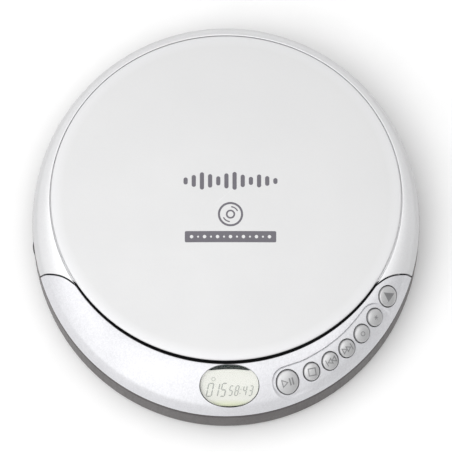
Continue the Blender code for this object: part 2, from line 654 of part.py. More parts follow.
def build_side_controls():
    low = Z_BOARD_TOP + GAP
    phones = make("headphone_jack", box(-64.7, -53.5, PHONES_Y - 3.0, PHONES_Y + 3.0, low, low + 5.2),
                  "black_plastic")
    join(phones, rod_x(2.5, -67.3, -64.0, PHONES_Y, PHONES_Z, 20))
    cut(phones, rod_x(1.75, -70.0, -56.0, PHONES_Y, PHONES_Z, 16))
    power = make("dc_jack", box(-57.8, -48.0, POWER_Y - 4.3, POWER_Y + 4.3, low, low + 6.8),
                 "black_plastic")
    join(power, rod_x(3.2, -60.9, -57.0, POWER_Y, POWER_Z, 20))
    cut(power, rod_x(2.75, -65.0, -50.5, POWER_Y, POWER_Z, 20))
    join(power, rod_x(0.65, -60.0, -49.5, POWER_Y, POWER_Z, 10))
    make("volume_pot", turned([(4.3, low), (4.3, 9.9), (1.4, 9.9), (1.4, 13.3)], 20, DIAL_AT),
         "grey_plastic")
    rim = []
    for i in range(48):
        radius = DIAL_R - (0.35 if i % 2 == 0 else 0.0)
        angle = math.tau * i / 48
        rim.append((DIAL_AT[0] + radius * math.cos(angle), DIAL_AT[1] + radius * math.sin(angle)))
    dial = make("volume_dial", prism(rim, 10.3, 12.5), "black_plastic", pivot=(*DIAL_AT, 11.4))
    cut(dial, turned([(1.75, 9.0), (1.75, 14.0)], 16, DIAL_AT))


# ---- disc drive ----

def build_chassis():
    outline = [(-25.0, -15.0), (20.0, -15.0), (20.0, -26.3), (42.0, -26.3), (42.0, -19.5), (54.0, -19.5),
               (54.0, -11.0), (64.7, -9.9), (64.7, 17.2), (46.0, 25.5), (-25.0, 25.5)]
    chassis = make("mech_chassis", prism(outline, Z_CHASSIS_LOW, Z_CHASSIS_TOP), "grey_plastic")
    blocks = []
    for y in (ROD_FRONT_Y, ROD_REAR_Y):
        for x0, x1 in ((14.2, 16.6), (63.5, 64.6)):
            blocks.append(box(x0, x1, y - 1.95, y + 1.95, 7.8, Z_CHASSIS_LOW + 0.5))
    join(chassis, together(*blocks))
    cut(chassis, box(16.9, 63.3, -9.6, 17.3, 12.0, 15.0))
    cut(chassis, turned([(5.0, 12.0), (5.0, 15.0)], 24, (0.0, DISC_Y)))
    cut(chassis, repeated([(2.9, 12.0), (2.9, 15.0)], 14, DAMPERS))
    for y in (ROD_FRONT_Y, ROD_REAR_Y):
        cut(chassis, rod_x(ROD_R + GAP, 10.0, 68.0, y, ROD_Z, 12))
    join(chassis, turned([(0.8, 4.2), (0.8, Z_CHASSIS_LOW + 0.5)], 12, GEAR_AT))
    return chassis


def build_turntable():
    centre = (0.0, DISC_Y)
    make("spindle_motor", turned([(MOTOR_R - 1.0, 3.6), (MOTOR_R, 4.4), (MOTOR_R, 11.6),
                                  (MOTOR_R - 0.8, 12.3), (1.4, 12.3), (1.4, 7.0)], 20, centre), "steel")
    make("spindle_shaft", turned([(1.0, 7.4), (1.0, 22.4)], 14, centre), "steel", pivot=(*centre, 15.0))
    table = make("turntable", turned([(4.0, 14.6), (4.0, 18.9), (TABLE_R, 18.9), (TABLE_R, Z_SEAT),
                                      (BOSS_R, Z_SEAT), (BOSS_R, 22.4), (BOSS_R - 1.4, 23.3)], 24, centre),
                 "black_plastic", pivot=(*centre, Z_SEAT))
    cut(table, turned([(1.3, 14.0), (1.3, 22.7)], 14, centre))
    for number in range(3):
        angle = math.radians(90 + 120 * number)
        turn = Matrix.Translation((*centre, 0.0)) @ Matrix.Rotation(angle, 4, 'Z')
        cut(table, moved(rod_x(BALL_R + GAP, 3.6, 10.0, 0.0, Z_BALL, 12), turn))
        ball_at = turn @ Vector((BALL_REACH, 0.0, Z_BALL))
        ball_profile = []
        for a in (15, 52, 90, 128, 165):
            tilt = math.radians(a)
            ball_profile.append((BALL_R * math.sin(tilt), Z_BALL - BALL_R * math.cos(tilt)))
        make(f"clamp_ball_{number + 1}", turned(ball_profile, 10, (ball_at.x, ball_at.y)), "steel",
             pivot=ball_at)


def rack_outline(x0, x1, y_back, y_tip, pitch, depth):
    """A toothed bar in plan, teeth towards -Y."""
    points = [(x1, y_back), (x0, y_back)]
    count = int((x1 - x0) / pitch)
    for i in range(count):
        start = x0 + i * pitch
        points.append((start, y_tip + depth))
        points.append((start + 0.35 * pitch, y_tip))
        points.append((start + 0.65 * pitch, y_tip))
    points.append((x1, y_tip + depth))
    return points


def build_sled():
    sled = make("laser_sled", box(SLED_X[0], SLED_X[1], -9.2, 17.0, 7.6, 13.9), "black_plastic",
                pivot=(LENS_X, DISC_Y, 10.0))
    join(sled, prism(rack_outline(-9.0, 29.5, -8.4, -11.2, RACK_PITCH, 0.9), 9.2, 11.0))
    for y in (ROD_FRONT_Y, ROD_REAR_Y):
        cut(sled, rod_x(ROD_R + GAP, 12.0, 40.0, y, ROD_Z, 12))
    centre = (LENS_X, DISC_Y)
    make("lens_holder", turned([(3.3, 14.6), (3.3, 18.2), (2.9, 18.9), (2.2, 18.9), (2.2, 17.6)], 24, centre),
         "black_plastic", pivot=(*centre, 16.0))
    make("pickup_lens", turned([(1.8, 17.95), (1.8, 18.6), (1.3, 19.1), (0.6, 19.3)], 20, centre),
         "lens_glass", pivot=(*centre, 18.0))
    for name, y in (("guide_rod_front", ROD_FRONT_Y), ("guide_rod_rear", ROD_REAR_Y)):
        make(name, rod_x(ROD_R, 14.4, 64.6, y, ROD_Z, 14), "steel")


def gear_outline(radius, teeth, depth):
    """Outline of a small toothed wheel, its teeth drawn as points."""
    points = []
    for i in range(2 * teeth):
        reach = radius if i % 2 else radius - depth
        angle = math.pi * i / teeth
        points.append((reach * math.cos(angle), reach * math.sin(angle)))
    return points


def build_sled_drive():
    at = Matrix.Translation((*GEAR_AT, 0.0))
    large = gear_outline(8.0, LARGE_TEETH, 0.8)
    small = gear_outline(2.9, SMALL_TEETH, 0.6)
    gear = make("sled_gear", moved(prism(large, Z_GEAR_LOW, Z_GEAR_TOP), at), "white_gear",
                pivot=(*GEAR_AT, 8.0))
    join(gear, moved(turned([(1.9, Z_GEAR_TOP - 0.4), (1.9, 9.2)], 12), at),
         moved(prism(small, 8.8, 11.4), at))
    cut(gear, moved(turned([(1.1, 4.0), (1.1, 12.0)], 12), at))
    motor = [(5.5, 6.9), (5.5, 12.2), (1.2, 12.2), (1.2, 10.4), (0.85, 10.4), (0.85, 6.9)]
    make("sled_motor", turned(motor, 20, PINION_AT, closed=True), "steel")
    pinion = make("motor_pinion", turned([(0.5, 4.2), (0.5, 10.0)], 10, PINION_AT), "white_gear",
                  pivot=(*PINION_AT, 5.2))
    teeth = prism(gear_outline(1.3, PINION_TEETH, 0.35), Z_GEAR_LOW, Z_GEAR_TOP)
    join(pinion, moved(teeth, Matrix.Translation((*PINION_AT, 0.0))))


def build_dampers():
    profile = [(1.65, 11.3), (1.65, 15.2), (3.9, 15.2), (3.9, 14.3), (2.55, 14.3), (2.55, 12.3),
               (3.9, 12.3), (3.9, 11.3)]
    for number, at in enumerate(DAMPERS):
        make(f"damper_{number + 1}", turned(profile, 10, at, closed=True), "rubber")


# ---- hinge, latch, battery contacts, fixings ----

def build_hinge():
    make("hinge_rod", rod_x(HINGE_ROD_R, -16.4, 16.4, HINGE_Y, HINGE_Z, 12), "steel")
    for name, side in (("lid_spring_left", -1), ("lid_spring_right", 1)):
        path = coil((side * 1.4, HINGE_Y, HINGE_Z), (side, 0.0, 0.0), 4.2, 1.55, 1.55, 4.0, 8)
        path.insert(0, path[0] + Vector((0.0, 0.0, -0.6)) + (path[0] - path[1]) * 1.5)
        make(name, wire(path, 0.28, 4), "steel")


def build_latch():
    slide = latch_frame()
    bar_profile = [(LATCH_REAR, Z_LATCH_LOW), (4.1, Z_LATCH_LOW), (4.1, Z_LATCH_TOP), (-1.0, Z_LATCH_TOP),
                   (-3.6, 18.7), (LATCH_REAR, 18.7)]
    make("latch_slider", latch_block(bar_profile, 1.6), "grey_plastic",
         pivot=slide @ Vector((0.0, 0.0, 17.3)))
    backwards = slide.to_3x3() @ Vector((-1.0, 0.0, 0.0))
    spring_start = slide @ Vector((LATCH_REAR - LATCH_TRAVEL - 0.5, 0.0, 17.7))
    path = coil(spring_start, backwards, 1.7, 0.95, 0.95, 2.0, 8)
    make("latch_spring", wire(path, 0.2, 4), "steel")


def build_battery_contacts():
    make("battery_contact", box(-28.1, -27.4, CELL_FRONT_Y - 5.0, CELL_FRONT_Y + 5.0, 4.0, 14.0), "steel")
    make("battery_bridge", box(27.4, 28.1, CELL_FRONT_Y - 5.0, CELL_REAR_Y + 5.0, 4.0, 14.0), "steel")
    path = coil((-27.9, CELL_REAR_Y, CELL_Z), (1.0, 0.0, 0.0), 3.4, 4.4, 2.6, 3.0, 10)
    make("battery_spring", wire(path, 0.35, 4), "steel")


def build_fixings():
    for number, at in enumerate(FEET):
        foot = [(FOOT_R - 0.5, 0.0), (FOOT_R, 0.3), (FOOT_R, 1.2)]
        make(f"foot_{number + 1}", turned(foot, 24, at), "rubber")
    for number, at in enumerate(SCREWS):
        head = [(1.9, 0.95), (2.5, 1.2), (2.5, 1.7), (SCREW_R, 1.7), (SCREW_R, 15.6)]
        screw = make(f"case_screw_{number + 1}", turned(head, 10, at), "steel")
        cut(screw, box(at[0] - 1.5, at[0] + 1.5, at[1] - 0.25, at[1] + 0.25, 0.5, 1.3),
            box(at[0] - 0.25, at[0] + 0.25, at[1] - 1.5, at[1] + 1.5, 0.5, 1.31))


def build_player():
    clear_scene()
    build_base_case()
    build_disc_tray()
    build_front_panel()
    build_lid_shell()
    build_lid_plate()
    build_lid_liner()
    build_battery_door()
    build_display()
    build_buttons()
    build_boards()
    build_side_controls()
    build_chassis()
    build_turntable()
    build_sled()
    build_sled_drive()
    build_dampers()
    build_hinge()
    build_latch()
    build_battery_contacts()
    build_fixings()


build_player()
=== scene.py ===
"""Looks of the portable CD player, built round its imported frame.

Lengths are in millimetres in the frame's axes, +Z up and the front towards -Y, and become metres
where a mesh is made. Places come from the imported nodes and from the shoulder's own formula.
"""
import json
import math

import bpy
import bmesh
from mathutils import Matrix, Vector


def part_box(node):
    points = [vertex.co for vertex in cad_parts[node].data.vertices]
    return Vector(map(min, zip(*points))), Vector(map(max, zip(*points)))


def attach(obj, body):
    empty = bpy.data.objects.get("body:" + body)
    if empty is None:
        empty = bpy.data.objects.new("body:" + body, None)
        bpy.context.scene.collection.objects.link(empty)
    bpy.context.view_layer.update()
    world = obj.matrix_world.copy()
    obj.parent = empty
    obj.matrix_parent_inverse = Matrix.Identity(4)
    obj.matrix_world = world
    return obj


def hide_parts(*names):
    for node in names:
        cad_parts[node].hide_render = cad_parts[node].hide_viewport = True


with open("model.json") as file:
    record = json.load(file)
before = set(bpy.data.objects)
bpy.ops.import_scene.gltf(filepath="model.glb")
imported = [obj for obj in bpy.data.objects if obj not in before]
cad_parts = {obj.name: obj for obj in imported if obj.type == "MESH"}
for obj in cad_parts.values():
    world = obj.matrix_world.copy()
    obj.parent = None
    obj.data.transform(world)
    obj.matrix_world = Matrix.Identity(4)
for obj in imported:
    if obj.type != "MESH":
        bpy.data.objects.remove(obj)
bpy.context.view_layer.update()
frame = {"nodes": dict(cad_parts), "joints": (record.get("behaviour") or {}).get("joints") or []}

MM = 0.001


def box_mm(node):
    low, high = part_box(node)
    return low / MM, high / MM


def middle_mm(node):
    """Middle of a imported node's box."""
    low, high = box_mm(node)
    return [0.5 * (a + b) for a, b in zip(low, high)]


# ---- driving sizes, read from the frame ----
CASE_LOW, CASE_HIGH = box_mm("base_case")
PLATE_LOW, PLATE_HIGH = box_mm("lid_plate")
BODY_A, BODY_B = CASE_HIGH.x, CASE_HIGH.y
PLATE_A = PLATE_HIGH.x
PLATE_B = 0.5 * (PLATE_HIGH.y - PLATE_LOW.y)
PLATE_Y = middle_mm("lid_plate")[1]
Z_CROWN, PLATE_FALL, PLATE_THICK = PLATE_HIGH.z, 2.45, 1.35
Z_BOTTOM, Z_SPLIT = CASE_LOW.z, CASE_HIGH.z
Z_RIM = box_mm("front_panel")[0].z
Z_PLATE_EDGE = 25.0
RIM_RISE, RIM_RADIUS = 2.6, 3.2
SHELL = 1.5
DISC_Y = middle_mm("turntable")[1]
GAP = 0.3
RING_START, PANEL_START = 0.06, 0.072    # s of the inner edge of each silver shell
SEAM_KNOTS = ((75.0, -20.3), (70.0, -20.3), (65.5, -20.6), (60.1, -21.8), (56.6, -23.3), (53.4, -25.7),
              (50.5, -28.6), (48.0, -31.8), (44.0, -31.8))
SEAM_GAP = 0.48
PANEL_LIP_Z = 21.75             # underside of the panel's inner lip
HINGE_Y, HINGE_Z = middle_mm("hinge_rod")[1:]

joints = {joint["name"]: joint for joint in frame["joints"]}


# ---- outline and surface of the body ----

def ellipse(a, b, centre_y=0.0, sides=96, start=0.0, end=360.0):
    """Points of an ellipse in plan; a full turn leaves out the repeated last point."""
    full_turn = abs(end - start - 360.0) < 1e-6
    count = sides if full_turn else sides + 1
    points = []
    for i in range(count):
        t = math.radians(start + (end - start) * i / sides)
        points.append((a * math.cos(t), centre_y + b * math.sin(t)))
    return points


def circle(centre, radius, sides, start=0.0, end=360.0):
    """Points of a circle or an arc about a centre in plan."""
    return [(centre[0] + x, centre[1] + y) for x, y in ellipse(radius, radius, 0.0, sides, start, end)]


def heading(path, i):
    """Direction of a path at one of its points, from the points beside it."""
    return path[min(i + 1, len(path) - 1)] - path[max(i - 1, 0)]


def left_of(direction):
    return Vector((-direction.y, direction.x)).normalized()


def shoulder_oval(s):
    """Half width, half depth and middle of the shoulder's oval; s is 0 at the plate and 1 at the rim."""
    return PLATE_A + (BODY_A - PLATE_A) * s, PLATE_B + (BODY_B - PLATE_B) * s, PLATE_Y * (1.0 - s)


def shoulder_point(s, t):
    a, b, centre_y = shoulder_oval(s)
    return a * math.cos(t), centre_y + b * math.sin(t)


def shoulder_z(s, inset):
    """Height of the shoulder: a rounded rim, then an easy slope up to the plate's edge."""
    inside_round = min(inset, RIM_RADIUS) / RIM_RADIUS
    rim = RIM_RISE * (1.0 - (1.0 - inside_round) ** 2)
    slope = (Z_PLATE_EDGE - Z_RIM - RIM_RISE) * (1.0 - s ** 1.8)
    return Z_RIM + rim + slope


def shoulder_at(s, t):
    x, y = shoulder_point(s, t)
    rim_x, rim_y = shoulder_point(1.0, t)
    return Vector((x, y, shoulder_z(s, math.hypot(rim_x - x, rim_y - y))))


def shoulder_normal(s, t):
    along = shoulder_at(min(s + 0.01, 1.0), t) - shoulder_at(s - 0.01, t)
    around = shoulder_at(s, t + 0.01) - shoulder_at(s, t - 0.01)
    return along.cross(around).normalized()


def shoulder_coordinates(x, y):
    """The s and t of a plan position, by halving the range of s."""
    low, high = -0.8, 1.6
    for _ in range(40):
        s = 0.5 * (low + high)
        a, b, centre_y = shoulder_oval(s)
        if (x / a) ** 2 + ((y - centre_y) / b) ** 2 > 1.0:
            low = s
        else:
            high = s
    return s, math.atan2((y - centre_y) / b, x / a)


def surface_height(x, y):
    s, t = shoulder_coordinates(x, y)
    rim_x, rim_y = shoulder_point(1.0, t)
    return shoulder_z(s, math.hypot(rim_x - x, rim_y - y))


def plate_height(x, y):
    share = math.hypot(x / PLATE_A, (y - PLATE_Y) / PLATE_B)
    return Z_CROWN - PLATE_FALL * share * share


def smooth_line(knots, steps):
    """A Catmull-Rom line through points."""
    knots = [Vector(k) for k in knots]
    points = []
    for i in range(len(knots) - 1):
        before = knots[max(i - 1, 0)]
        after = knots[min(i + 2, len(knots) - 1)]
        start, end = knots[i], knots[i + 1]
        for k in range(steps):
            u = k / steps
            points.append(0.5 * ((2 * start) + (end - before) * u
                                 + (2 * before - 5 * start + 4 * end - after) * u * u
                                 + (3 * start - before - 3 * end + after) * u ** 3))
    points.append(knots[-1])
    return points


def smoothstep(value):
    value = min(max(value, 0.0), 1.0)
    return value * value * (3.0 - 2.0 * value)


def edge_roll(distance, radius):
    """How far a surface drops near an edge that is rounded with this radius."""
    if distance >= radius:
        return 0.0
    return radius - math.sqrt(radius * radius - (radius - distance) ** 2)


# ---- solids as (vertices, faces) in millimetres ----

def loft(rings, closed=False):
    """Skin a list of equal point rings; a closed loft is a ring-shaped solid without caps."""
    count = len(rings[0])
    vertices = [Vector(p) for ring in rings for p in ring]
    faces = []
    spans = len(rings) if closed else len(rings) - 1
    for r in range(spans):
        low, high = r * count, ((r + 1) % len(rings)) * count
        for i in range(count):
            j = (i + 1) % count
            faces.append((low + i, low + j, high + j, high + i))
    if not closed:
        faces.append(tuple(reversed(range(count))))
        faces.append(tuple(range((len(rings) - 1) * count, len(rings) * count)))
    return vertices, faces


def sheet_solid(top, under):
    """Closed solid between two equal grids of points, joined round their four edges."""
    rows, columns = len(top), len(top[0])
    vertices = [p for row in top for p in row] + [p for row in under for p in row]
    offset = rows * columns
    faces = []
    for r in range(rows - 1):
        for c in range(columns - 1):
            a = r * columns + c
            quad = (a, a + 1, a + columns + 1, a + columns)
            faces.append(quad)
            faces.append(tuple(offset + i for i in reversed(quad)))
    border = [c for c in range(columns)]
    border += [r * columns + columns - 1 for r in range(1, rows)]
    border += [(rows - 1) * columns + c for c in range(columns - 2, -1, -1)]
    border += [r * columns for r in range(rows - 2, 0, -1)]
    for i, a in enumerate(border):
        b = border[(i + 1) % len(border)]
        faces.append((a, b, offset + b, offset + a))
    return vertices, faces


def stack(levels, closed=False):
    """Loft through outlines in plan, each given with its height."""
    return loft([[(x, y, z) for x, y in outline] for outline, z in levels], closed)


def prism(outline, z_low, z_high):
    return stack([(outline, z_low), (outline, z_high)])


def box(x0, x1, y0, y1, z0, z1):
    return prism([(x0, y0), (x1, y0), (x1, y1), (x0, y1)], z0, z1)


def bar(profile_yz, x0, x1):
    """A profile in Y and Z, extruded along X."""
    return loft([[(x0, y, z) for y, z in profile_yz], [(x1, y, z) for y, z in profile_yz]])


def turned(profile, sides, centre=(0.0, 0.0), closed=False):
    """Solid of revolution about a vertical line from (radius, height) pairs."""
    return stack([(circle(centre, radius, sides), z) for radius, z in profile], closed)


def turned_x(profile, y, z, sides=40, closed=False):
    """Solid of revolution about a line along X from (radius, x) pairs."""
    rings = [[(x, v, w) for v, w in circle((y, z), radius, sides)] for radius, x in profile]
    return loft(rings, closed)


def rod_x(radius, x0, x1, y, z, sides=32):
    """A round bar along X."""
    return turned_x([(radius, x0), (radius, x1)], y, z, sides)


def moved(solid, matrix):
    return [matrix @ Vector(v) for v in solid[0]], solid[1]


def together(*solids):
    """Several solids as one set of faces."""
    vertices, faces = [], []
    for points, polygons in solids:
        base = len(vertices)
        vertices.extend(points)
        faces.extend(tuple(base + i for i in polygon) for polygon in polygons)
    return vertices, faces


def repeated(profile, sides, places):
    """The same turned solid at several places."""
    return together(*(turned(profile, sides, at) for at in places))


def rounded_outline(x0, x1, y0, y1, radius, inset=0.0, steps=4):
    """A rectangle in plan with rounded corners, drawn inwards by the inset."""
    points = []
    reach = max(radius - inset, 0.01)
    for x, y, start in ((x1, y1, 0), (x0, y1, 90), (x0, y0, 180), (x1, y0, 270)):
        centre_x = x - math.copysign(radius, x - 0.5 * (x0 + x1))
        centre_y = y - math.copysign(radius, y - 0.5 * (y0 + y1))
        for k in range(steps + 1):
            a = math.radians(start + 90.0 / steps * k)
            points.append((centre_x + reach * math.cos(a), centre_y + reach * math.sin(a)))
    return points


def rounded_box(x0, x1, y0, y1, z0, z1, radius):
    """A block with rounded corners in plan and a small rounding on its top and bottom edges."""
    edge = min(0.3 * radius, 0.3 * (z1 - z0))
    levels = ((edge, z0), (0.3 * edge, z0 + 0.3 * edge), (0.0, z0 + edge), (0.0, z1 - edge),
              (0.3 * edge, z1 - 0.3 * edge), (edge, z1))
    return stack([(rounded_outline(x0, x1, y0, y1, radius, inset), z) for inset, z in levels])


def wire(path, radius, sides=10):
    """A round wire along a path, with the cross-section carried along without twist."""
    path = [Vector(p) for p in path]
    side = Vector((0.0, 0.0, 1.0)).cross(path[1] - path[0])
    if side.length < 1e-6:
        side = Vector((1.0, 0.0, 0.0))
    rings = []
    for i, point in enumerate(path):
        ahead = heading(path, i).normalized()
        side = (side - ahead * side.dot(ahead)).normalized()
        other = ahead.cross(side)
        ring = []
        for k in range(sides):
            a = math.tau * k / sides
            ring.append(point + radius * (math.cos(a) * side + math.sin(a) * other))
        rings.append(ring)
    return loft(rings)


def coil(start, along, length, radius_start, radius_end, turns, steps=32):
    """Points of a helix from start, winding about the direction along."""
    along = Vector(along).normalized()
    side = along.orthogonal().normalized()
    other = along.cross(side)
    count = int(turns * steps)
    points = []
    for i in range(count + 1):
        share = i / count
        angle = math.tau * turns * share
        radius = radius_start + (radius_end - radius_start) * share
        points.append(Vector(start) + along * length * share
                      + radius * (math.cos(angle) * side + math.sin(angle) * other))
    return points


def ribbon(path, width, height_at, closed=False, thick=0.03):
    """A printed line: a thin strip of even width that follows a surface."""
    path = [Vector((*p, 0.0)) for p in path]
    count = len(path)
    left, right = [], []
    for i, point in enumerate(path):
        if closed:
            before, after = path[i - 1], path[(i + 1) % count]
        else:
            before, after = path[max(i - 1, 0)], path[min(i + 1, count - 1)]
        into, out = (point - before), (after - point)
        if into.length < 1e-9:
            into = out
        if out.length < 1e-9:
            out = into
        into.normalize()
        out.normalize()
        across = Vector((-into.y - out.y, into.x + out.x, 0.0)).normalized()
        mitre = max(across.dot(Vector((-out.y, out.x, 0.0))), 0.4)
        left.append(point + across * (0.5 * width / mitre))
        right.append(point - across * (0.5 * width / mitre))
    rings = []
    for a, b in zip(left, right):
        za, zb = height_at(a.x, a.y), height_at(b.x, b.y)
        rings.append([(a.x, a.y, za - thick), (b.x, b.y, zb - thick), (b.x, b.y, zb + 0.5 * thick),
                      (a.x, a.y, za + 0.5 * thick)])
    return loft(rings, closed)


def patch(outline, height_at, thick=0.03):
    """A printed area: its outline, filled from the middle, following a surface."""
    centre = sum((Vector(p) for p in outline), Vector((0.0, 0.0))) / len(outline)
    shares = (0.02, 0.2, 0.4, 0.6, 0.8, 1.0)
    top, under = [], []
    for share in shares:
        ring = [centre + (Vector(p) - centre) * share for p in outline]
        top.append([(p.x, p.y, height_at(p.x, p.y) + 0.5 * thick) for p in ring])
        under.append([(p.x, p.y, height_at(p.x, p.y) - thick) for p in ring])
    return loft(top + under[::-1])


def line_points(start, end, step=0.5):
    start, end = Vector(start), Vector(end)
    count = max(int((end - start).length / step), 1)
    return [start.lerp(end, i / count) for i in range(count + 1)]


def polygon_points(corners, step=0.5):
    """The outline of a polygon with points along its sides."""
    points = []
    for i, corner in enumerate(corners):
        points += line_points(corner, corners[(i + 1) % len(corners)], step)[:-1]
    return points


# ---- objects ----

def make(name, solid, material, body, replaces=(), sharp=35.0):
    """Turn a solid into a shown piece that rides on a body and stands for CAD nodes.

    Without a body it is only a helper.
    """
    mesh = bpy.data.meshes.new(name)
    mesh.from_pydata([Vector(v) * MM for v in solid[0]], [], solid[1])
    tidy = bmesh.new()
    tidy.from_mesh(mesh)
    bmesh.ops.recalc_face_normals(tidy, faces=tidy.faces)
    tidy.to_mesh(mesh)
    tidy.free()
    mesh.shade_smooth()
    mesh.set_sharp_from_angle(angle=math.radians(sharp))
    piece = bpy.data.objects.new(name, mesh)
    bpy.context.scene.collection.objects.link(piece)
    if material is not None:
        mesh.materials.append(material)
    if body:
        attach(piece, body)
        if replaces:
            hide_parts(*replaces)
    return piece


def combine(piece, operation, solid, sharp=35.0):
    """Cut a solid out of a piece or join one to it, and keep only the result."""
    helper = make("helper", solid, None, None)
    modifier = piece.modifiers.new("combine", 'BOOLEAN')
    modifier.operation = operation
    modifier.object = helper
    modifier.solver = 'MANIFOLD'
    bpy.context.view_layer.update()
    evaluated = piece.evaluated_get(bpy.context.evaluated_depsgraph_get())
    result = bpy.data.meshes.new_from_object(evaluated)
    old = piece.data
    piece.modifiers.clear()
    piece.data = result
    bpy.data.meshes.remove(old)
    bpy.data.objects.remove(helper, do_unlink=True)
    result.shade_smooth()
    result.set_sharp_from_angle(angle=math.radians(sharp))
    return piece


def cut(piece, *solids):
    for solid in solids:
        combine(piece, 'DIFFERENCE', solid)
    return piece


def join(piece, *solids):
    for solid in solids:
        combine(piece, 'UNION', solid)
    return piece


# ---- materials ----

SPAN_INPUTS = ("From Min", "From Max", "To Min", "To Max")


class Graph:
    """A material's nodes, with short calls for the ones used here."""

    def __init__(self, name, metallic=0.0, coat=0.0, coat_roughness=0.1, specular=0.5):
        self.material = bpy.data.materials.new(name)
        self.material.use_nodes = True
        self.tree = self.material.node_tree
        self.shader = self.tree.nodes["Principled BSDF"]
        self.shader.inputs["Metallic"].default_value = metallic
        self.shader.inputs["Coat Weight"].default_value = coat
        self.shader.inputs["Coat Roughness"].default_value = coat_roughness
        self.shader.inputs["Specular IOR Level"].default_value = specular
        self.place = self.add("ShaderNodeTexCoord").outputs["Object"]

    def add(self, kind, **settings):
        node = self.tree.nodes.new(kind)
        for name, value in settings.items():
            setattr(node, name, value)
        return node

    def join(self, output, target):
        self.tree.links.new(output, target)
        return output

    def mapped(self, **settings):
        """The piece's own coordinates through a Mapping node."""
        mapping = self.add("ShaderNodeMapping")
        self.join(self.place, mapping.inputs["Vector"])
        for name, value in settings.items():
            mapping.inputs[name].default_value = value
        return mapping.outputs["Vector"]

    def noise(self, scale, detail=2.0, stretch=None, turn=0.0):
        """Fractal noise between about 0 and 1; scale is in cells per metre."""
        node = self.add("ShaderNodeTexNoise")
        node.inputs["Scale"].default_value = scale
        node.inputs["Detail"].default_value = detail
        place = self.mapped(Scale=stretch, Rotation=(0.0, 0.0, turn)) if stretch else self.place
        self.join(place, node.inputs["Vector"])
        return self.span(node.outputs["Fac"], 0.3, 0.7, 0.0, 1.0)

    def cells(self, scale, output="Distance"):
        node = self.add("ShaderNodeTexVoronoi")
        node.inputs["Scale"].default_value = scale
        self.join(self.place, node.inputs["Vector"])
        return node.outputs[output]

    def span(self, value, low, high, to_low, to_high):
        """Map a range of a value to another range."""
        node = self.add("ShaderNodeMapRange")
        self.join(value, node.inputs["Value"])
        for name, number in zip(SPAN_INPUTS, (low, high, to_low, to_high)):
            node.inputs[name].default_value = number
        return node.outputs["Result"]

    def vary(self, value, to_low, to_high):
        return self.span(value, 0.0, 1.0, to_low, to_high)

    def times(self, value, factor):
        return self.sum(value, factor, 'MULTIPLY')

    def blend(self, a, share_a, b, share_b):
        return self.sum(self.times(a, share_a), self.times(b, share_b))

    def sum(self, a, b, operation='ADD'):
        node = self.add("ShaderNodeMath", operation=operation)
        self.join(a, node.inputs[0])
        if isinstance(b, (int, float)):
            node.inputs[1].default_value = b
        else:
            self.join(b, node.inputs[1])
        return node.outputs[0]

    def mix(self, factor, a, b):
        """Blend two colours, each a triple or another node's output."""
        node = self.add("ShaderNodeMix", data_type='RGBA')
        self.join(factor, node.inputs["Factor"])
        for colour, target in ((a, node.inputs[6]), (b, node.inputs[7])):
            if isinstance(colour, tuple):
                target.default_value = (*colour, 1.0)
            else:
                self.join(colour, target)
        return node.outputs[2]

    def edges(self):
        """Where the surface is bent outwards, as along a handled edge."""
        return self.span(self.add("ShaderNodeNewGeometry").outputs["Pointiness"], 0.52, 0.60, 0.0, 1.0)

    def slope_shade_mask(self):
        """0 on level ground to 1 on a side sloping far from level, by the piece's own normal; it places
        painted shade.
        """
        parts = self.add("ShaderNodeSeparateXYZ")
        self.join(self.add("ShaderNodeTexCoord").outputs["Normal"], parts.inputs[0])
        return self.span(parts.outputs["Z"], 0.96, 0.45, 0.0, 1.0)

    def plate_rim_highlight(self):
        """0 inside the lid's plate to 1 along its edge, where the painted highlight goes."""
        share = self.add("ShaderNodeVectorMath", operation='LENGTH')
        scale = (1.0 / (PLATE_A * MM), 1.0 / (PLATE_B * MM), 0.0)
        self.join(self.mapped(Location=(0.0, -PLATE_Y / PLATE_B, 0.0), Scale=scale), share.inputs[0])
        return self.span(share.outputs["Value"], 0.93, 0.99, 0.0, 1.0)

    def bump(self, height, distance, strength=1.0):
        node = self.add("ShaderNodeBump")
        node.inputs["Strength"].default_value = strength
        node.inputs["Distance"].default_value = distance
        self.join(height, node.inputs["Height"])
        self.join(node.outputs["Normal"], self.shader.inputs["Normal"])

    def finish(self, colour, roughness):
        self.join(colour, self.shader.inputs["Base Color"])
        self.join(roughness, self.shader.inputs["Roughness"])
        return self.material


def paint(name, light, dark, metallic, roughness, flake, grain=2600.0, coat=0.0, slope_shade=0.0, border=None):
    """Metallic paint on plastic: fine flakes, faint clouds, hairlines and lighter handled edges.

    One argument sets how much painted shade darkens the paint on its sloping sides, and border is a painted
    highlight, a lighter colour along the plate's rim.
    """
    graph = Graph(name, metallic=metallic, coat=coat, coat_roughness=0.18)
    flakes = graph.vary(graph.cells(grain, output="Color"), 0.0, 1.0)
    fine = graph.noise(grain * 0.55, detail=3.0)
    cloud = graph.noise(38.0, detail=3.0)
    hair = graph.noise(60.0, stretch=(1.0, 34.0, 1.0), turn=0.5)
    mottle = graph.blend(flakes, flake, cloud, 0.18)
    colour = graph.mix(mottle, light, dark)
    # painted highlight: a lighter colour along the plate's rim
    if border:
        colour = graph.mix(graph.plate_rim_highlight(), colour, border)
    # painted shade: the colour darkens on sloping sides, where the light falls off
    if slope_shade:
        colour = graph.mix(graph.times(graph.slope_shade_mask(), slope_shade), colour, tuple(0.35 * c for c in light))
    worn = graph.mix(graph.times(graph.edges(), 0.35), colour, tuple(min(c * 1.12, 1.0) for c in light))
    smudge = graph.sum(graph.vary(cloud, -0.04, 0.05), graph.span(hair, 0.55, 1.0, 0.0, 0.05))
    rough = graph.sum(graph.sum(smudge, graph.vary(fine, -0.03, 0.03)), roughness)
    graph.bump(graph.sum(fine, graph.times(flakes, 0.5)), 0.00003, 0.35)
    return graph.finish(worn, rough)


